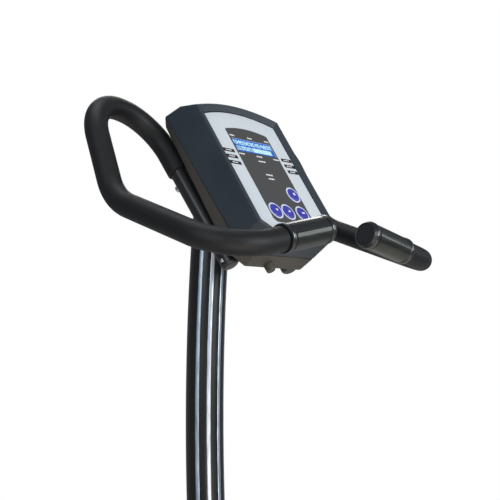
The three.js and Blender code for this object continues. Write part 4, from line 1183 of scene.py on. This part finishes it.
class BikePedals(bpy.types.Operator):
    """Makes the crank arms, pedals, treads and toe straps"""

    bl_idname = "bike.pedals"
    bl_label = "Pedals"

    def arm(self, side):
        """A bar whose outline is two circles and their tangents, with a round hub outside its larger end."""
        reach = (PEDALS[side] - CRANK) * (1, 0, 1)
        length = np.linalg.norm(reach)
        onward = reach / length
        big_radius, small_radius = 0.019, 0.014
        lean = math.asin((big_radius - small_radius) / length)
        big = np.linspace(RIGHT_ANGLE + lean, 3 * RIGHT_ANGLE - lean, 24)
        small = np.linspace(-RIGHT_ANGLE - lean, RIGHT_ANGLE + lean, 20)
        outline = np.concatenate([np.column_stack([np.cos(big), np.sin(big)]) * big_radius,
                                  np.column_stack([np.cos(small), np.sin(small)]) * small_radius + (length, 0)])
        place = placing(CRANK * (1, 0, 1), onward, np.cross(Y, onward), Y * SIDES[side])
        hub = turned([(0, 0.0765), (0.0125, 0.0765), (0.0125, 0.0795), (0.0112, 0.0812), (0.006, 0.0818),
                      (0, 0.0818)], place, 40)
        return [plate(outline, 0.0640, 0.0780, 0.0028, place), hub]

    def pedal(self, place):
        """A tread block with ribs across it and a weight under it."""
        inner, outer = 0.088, 0.178
        body, keel = rectangle(0.045, -0.013, 0.013, 0.0095, 8), rectangle(0.034, -0.026, -0.010, 0.006)
        rib = rounded([(-0.0022, 0.010, 0.0008), (0.0022, 0.010, 0.0008), (0.0016, 0.0142, 0.0008),
                       (-0.0016, 0.0142, 0.0008)], 3)
        ribs = [plate(rib + (x, 0), inner + 0.008, outer - 0.008, 0.0008, place)
                for x in np.linspace(-0.033, 0.033, 9)]
        return [plate(body, inner, outer, 0.003, place),
                plate(keel, inner + 0.004, outer - 0.004, 0.002, place), *ribs]

    def strap(self, place):
        """A band over half an ellipse, from one side of the pedal to the other and down into it."""
        middle_y, half, rise, foot, x = 0.133, 0.04725, 0.06475, 0.014, 0.007
        angle = np.linspace(0, math.pi, 49)
        arch = np.column_stack([foot + rise * np.sin(angle), middle_y + half * np.cos(angle)])
        route = np.concatenate([[(0.0105, middle_y + half)], arch, [(0.0105, middle_y - half)]])
        path = place(np.column_stack([np.full(len(route), x), route]))
        return strip(path, X, rectangle(0.00125, -0.0148, 0.0148, 0.0011, 4), 0, length_of(path), 0.003)

    def execute(self, context):
        for side in SIDES:
            place = sideways(PEDALS[side][0], PEDALS[side][2])
            piece(f"crank_{side}", self.arm(side), "bright_steel", (f"crank_arm_{side}",), body="crank")
            dress("bright_steel", f"pedal_spindle_{side}")
            piece(f"tread_{side}", on_side(self.pedal(place), side), "black_plastic", (f"pedal_{side}",),
                  body=f"{side}_pedal")
            piece(f"toe_strap_{side}", on_side([self.strap(place)], side), "black_rubber",
                  (f"pedal_strap_{side}",), body=f"{side}_pedal")
        return {"FINISHED"}


# ---- Saddle ----

SADDLE_FIRST, SADDLE_LAST = corners_of("saddle_pad")
SADDLE_TAIL, SADDLE_NOSE = SADDLE_FIRST[0], SADDLE_LAST[0]
SADDLE_LOW, SADDLE_HIGH = SADDLE_FIRST[2], SADDLE_LAST[2]
SADDLE_WIDE = SADDLE_LAST[1]
SADDLE_MIDDLE = (SADDLE_TAIL + 0.105, 0)
SEAM_SCALE = 0.66
HEAD_BAR = (0.6521, 0.6779)  # heights of the bar on the post's head
PIN_HEIGHT = 0.515


def bezier(start, first, second, end, count=24):
    """Points on a cubic curve, without its last one."""
    t = np.linspace(0, 1, count, endpoint=False)[:, None]
    start, first, second, end = (np.array(p, float) for p in (start, first, second, end))
    return start * (1 - t) ** 3 + 3 * first * t * (1 - t) ** 2 + 3 * second * t ** 2 * (1 - t) + end * t ** 3


def saddle_outline(scale=1.0):
    """The saddle from above: a wide rounded tail that narrows in two curves to the nose, scaled about a middle."""
    tail, nose, wide, narrow = SADDLE_TAIL, SADDLE_NOSE, SADDLE_WIDE, 0.031
    half = np.concatenate([
        bezier((tail, 0), (tail, -wide * 0.75), (tail + 0.025, -wide), (tail + 0.070, -wide)),
        bezier((tail + 0.070, -wide), (tail + 0.135, -wide), (tail + 0.130, -narrow * 1.15), (nose - 0.050, -narrow)),
        bezier((nose - 0.050, -narrow), (nose - 0.015, -narrow), (nose, -narrow * 0.6), (nose, 0)), [(nose, 0)]])
    outline = np.concatenate([half, (half * (1, -1))[-2:0:-1]])
    return (outline - SADDLE_MIDDLE) * scale + SADDLE_MIDDLE


def walked(outline, spacing):
    """A closed flat outline walked at an even spacing."""
    closed = np.concatenate([outline, outline[:1]])
    run = np.concatenate([[0], np.cumsum(np.linalg.norm(np.diff(closed, axis=0), axis=1))])
    stops = np.linspace(0, run[-1], round(run[-1] / spacing), endpoint=False)
    return np.column_stack([np.interp(stops, run, closed[:, k]) for k in range(2)])


def up_seat(height):
    """Local axes from a height on the seat tube's axis: back from it, across, and up along it."""
    return placing(SEAT_FOOT + SEAT_AXIS * (height - SEAT_FOOT[2]) / SEAT_AXIS[2], SEAT_BACK, Y, SEAT_AXIS)


def out_of_seat(height, back, along_axis=0.0):
    """Local axes that point back out of the seat tube, from a distance behind its axis."""
    return placing(up_seat(height)((back, 0, along_axis)), SEAT_AXIS, Y, SEAT_BACK)


class BikeSaddle(bpy.types.Operator):
    """Makes the padded saddle, its seams, its base, the seat post and the knobs"""

    bl_idname = "bike.saddle"
    bl_label = "Saddle"

    def plump(self, mesh):
        """Remeshes a pad, blows it up a little as pinned cloth, limits how far it swells and smooths it."""
        scene = bpy.context.scene
        work = bpy.data.objects.new("pad_work", mesh)
        scene.collection.objects.link(work)

        def evaluated():
            """The pad with its modifiers as they are now."""
            return work.evaluated_get(bpy.context.evaluated_depsgraph_get())

        remesh = work.modifiers.new("even", "REMESH")
        remesh.mode, remesh.voxel_size = "VOXEL", 0.0045
        even = bpy.data.meshes.new_from_object(evaluated())
        work.modifiers.clear()
        work.data = even
        rest = numbers_of(even)
        pinned = work.vertex_groups.new(name="pinned")
        pinned.add(np.flatnonzero(rest[:, 2] < SADDLE_LOW + 0.009).tolist(), 1.0, "REPLACE")
        cloth = work.modifiers.new("cover", "CLOTH").settings
        cloth.use_pressure, cloth.uniform_pressure_force = True, 4.0
        cloth.vertex_group_mass = "pinned"
        cloth.effector_weights.gravity = 0
        cloth.quality = 6
        for step in range(1, 21):
            scene.frame_set(step)
        shift = numbers_of(evaluated().data) - rest
        reach, limit = np.linalg.norm(shift, axis=1, keepdims=True), 0.006
        rest = rest + shift * np.minimum(1, limit / np.maximum(reach, 1e-9))
        scene.frame_set(1)
        work.modifiers.clear()
        even.vertices.foreach_set("co", rest.ravel())
        smooth = work.modifiers.new("smooth", "SMOOTH")
        smooth.factor, smooth.iterations = 0.5, 6
        finer = work.modifiers.new("finer", "SUBSURF")
        finer.levels = finer.render_levels = 1
        done = bpy.data.meshes.new_from_object(evaluated())
        bpy.data.objects.remove(work)
        return done

    def cushion(self):
        """Shrinking copies of the outline climb a rounded edge, and the top dips along its middle and lifts behind."""
        height = SADDLE_HIGH - SADDLE_LOW
        share = np.array([0, 0.06, 0.16, 0.30, 0.46, 0.62, 0.76, 0.88, 0.96, 1.0])
        spread = np.sqrt(np.clip(1 - share ** 2.6, 0, 1))
        steps = [(0.90, SADDLE_LOW + 0.001)]
        steps += zip(0.955 * (0.42 + 0.58 * spread), SADDLE_LOW + 0.004 + share * (height - 0.014))
        steps += [(scale, SADDLE_HIGH - 0.010) for scale in (0.28, 0.14, 0.0)]
        rings = np.stack([at_depth(saddle_outline(scale), level) for scale, level in steps])
        lift = np.clip((rings[..., 2] - SADDLE_LOW) / height, 0, 1)
        forward = (rings[..., 0] - SADDLE_TAIL) / (SADDLE_NOSE - SADDLE_TAIL)
        rise = 0.006 * np.clip(1 - forward / 0.35, 0, 1) - 0.009 * np.clip((forward - 0.55) / 0.45, 0, 1)
        dip = 0.004 * np.exp(-(rings[..., 1] / 0.014) ** 2) * (forward > 0)
        rings[..., 2] += lift * rise
        rings[..., 2] -= lift * dip
        return self.plump(mesh_of("saddle_cushion", [loft(rings)]))

    def sewn(self, mesh, seam):
        """Presses a narrow channel into a cushion along a seam seen from above, deepest on the line itself."""
        points, normals = numbers_of(mesh), numbers_of(mesh, "normal")
        gap, batch = np.full(len(points), 1.0), 4000
        for start in range(0, len(points), batch):
            apart = points[start:start + batch, None, :2] - seam[None]
            gap[start:start + batch] = np.sqrt((apart ** 2).sum(-1)).min(1)
        depth = 0.0022 * np.exp(-(gap / 0.0024) ** 2) * (normals[:, 2] > 0.2)
        pressed = points - normals * depth[:, None]
        mesh.vertices.foreach_set("co", pressed.ravel())
        mesh.update()
        return pressed

    def stitches(self, points):
        """Short blocks along the seam, each at the height of the nearest point of the cushion's top."""
        spots = walked(saddle_outline(SEAM_SCALE), 0.0062)
        ahead = unit(np.roll(spots, -1, 0) - spots)
        upper = points[points[:, 2] > SADDLE_LOW + 0.02]
        nearest = np.array([np.argmin(((upper[:, :2] - spot) ** 2).sum(1)) for spot in spots])
        return [blocks((0, 0, 0), (0.0019, 0.00045, 0.0004), placing((x, y, z), (dx, dy, 0), (-dy, dx, 0), Z))
                for (x, y), z, (dx, dy) in zip(spots, upper[nearest, 2] + 0.0003, ahead)]

    def piping(self):
        """A thin round bead that follows the cushion's lower edge."""
        path = at_depth(walked(saddle_outline(0.952), 0.004), SADDLE_LOW + 0.0045)
        ahead = unit(np.roll(path, -1, 0) - np.roll(path, 1, 0))
        cosine, sine = circle(1.0, 10).T[..., None]
        return loft(path[:, None] + 0.0021 * (cosine * np.cross(ahead, Z)[:, None] + sine * Z), closed=False)

    def execute(self, context):
        mesh = self.cushion()
        points = self.sewn(mesh, walked(saddle_outline(SEAM_SCALE), 0.0015))
        cushion = shown("saddle_cushion", mesh, "grained_vinyl", ("saddle_pad",), "saddle", sharp=60)
        mesh.name = "saddle_cushion"
        piece("saddle_stitches", self.stitches(points), "ring_print", body="saddle", slot="vinyl")
        piece("saddle_piping", [self.piping()], "black_rubber", body="saddle", slot="vinyl")
        low, high = corners_of("saddle_base")
        tray = plate(saddle_outline(0.875), low[2], high[2] - 0.0003, 0.0028, placing((0, 0, 0), X, Y, Z))
        piece("saddle_tray", [tray], "dark_casing", ("saddle_base",), body="saddle")
        eased("saddle_slider", "saddle_carriage", 0.0014, "dark_casing", "saddle")
        self.post()
        self.knobs()
        return {"FINISHED"}

    def post(self):
        """The post and its head bar, dark discs of painted shade where its holes are, the bush and the seat tube's
        skin.
        """
        low, high = corners_of("seat_post")
        foot = 0.302
        rise = (0.6600 - foot) / SEAT_AXIS[2]
        rod = turned([(0, 0), (0.0185, 0), (0.019, 0.0008), (0.019, rise), (0, rise)], up_seat(foot))
        head = plate(rectangle(0.020, *HEAD_BAR, 0.0045), low[0], high[0], 0.0012, placing((0, 0, 0), Y, Z, X))
        piece("seat_post_tube", [rod, head], "bright_steel", ("seat_post",), body="post")
        # Black discs of painted shade stand for the holes through the post
        spot = [(0, -0.0004), (0.0043, -0.0004), (0.0043, 0.0001), (0, 0.0001)]
        marks = [turned(spot, out_of_seat(PIN_HEIGHT, 0.0191, -0.030 * k), 24) for k in range(-3, 0)]
        piece("seat_post_hole_shade", marks, "black_print", body="post", slot="steel")
        bush = rounded_profile([(0.0193, 0.0004), (0.0280, 0.0004), (0.0280, 0.0080), (0.0215, 0.0110),
                                (0.0193, 0.0110)], 0.0012, 3)
        piece("seat_tube_bush", [turned(bush, up_seat(0.545), closed=False)], "dark_casing", ("seat_bush",))
        skin = [(0.0226, 0), (0.0253, 0), (0.0253, 0.0780), (0.0226, 0.0780)]
        piece("seat_tube_skin", [turned(skin, up_seat(0.4692))], "powder_coat")

    def knobs(self):
        """Two lobed knobs on stems: one behind the seat tube and one at the side of the saddle's slider."""
        def stem(radius, start, end):
            """The profile of a plain rod."""
            return [(0, start), (radius, start), (radius, end), (0, end)]

        knob = np.array(rounded_profile([(0, 0), (0.0150, 0), (0.0178, 0.0020), (0.0180, 0.0170), (0.0150, 0.0208),
                                         (0, 0.0214)], 0.0015, 4))
        pull = turned(knob, out_of_seat(PIN_HEIGHT, 0.0385), 72, 6, 0.045)
        pin = turned(stem(0.0044, 0, 0.032), out_of_seat(PIN_HEIGHT, 0.0203), 28)
        piece("pin_pull_knob", [pull, pin], "black_plastic", ("post_pin_knob",), body="pin_knob")
        low, _ = corners_of("carriage_knob")
        x, _, z = middle("carriage_knob")
        wheel = turned(knob * (1.08, 0.84), sideways(x, z, 0.0382), 72, 6, 0.05)
        screw = turned(stem(0.0048, low[1], 0.040), sideways(x, z), 28)
        piece("saddle_clamp_knob", [wheel, screw], "black_plastic", ("carriage_knob",), body="saddle_knob")


# ---- Panel and registration ----

STEPS = (BikeStage, BikeConsole, BikeHandlebars, BikeMast, BikeShroud, BikeBase, BikePedals, BikeSaddle)


class BikePanel(bpy.types.Panel):
    """Lists the steps that build the bike, with its sizes and colours."""

    bl_idname = "VIEW3D_PT_bike"
    bl_label = "Exercise Bike"
    bl_space_type = "VIEW_3D"
    bl_region_type = "UI"
    bl_category = "Bike"

    def draw(self, context):
        for step in STEPS:
            self.layout.operator(step.bl_idname)
        for group in (context.scene.bike_sizes, context.scene.bike_colours):
            for name in group.__annotations__:
                self.layout.prop(group, name)


CLASSES = (BikeColours, BikeSizes, *STEPS, BikePanel)


def register():
    """Makes the classes and their settings known to Blender."""
    for cls in CLASSES:
        bpy.utils.register_class(cls)
    bpy.types.Scene.bike_colours = PointerProperty(type=BikeColours)
    bpy.types.Scene.bike_sizes = PointerProperty(type=BikeSizes)


def unregister():
    """Undoes register."""
    del bpy.types.Scene.bike_sizes
    del bpy.types.Scene.bike_colours
    for cls in reversed(CLASSES):
        bpy.utils.unregister_class(cls)


def main():
    """Builds everything in order."""
    register()
    for step in STEPS:
        group, name = step.bl_idname.split(".")
        getattr(getattr(bpy.ops, group), name)()


if __name__ == "__main__":
    main()
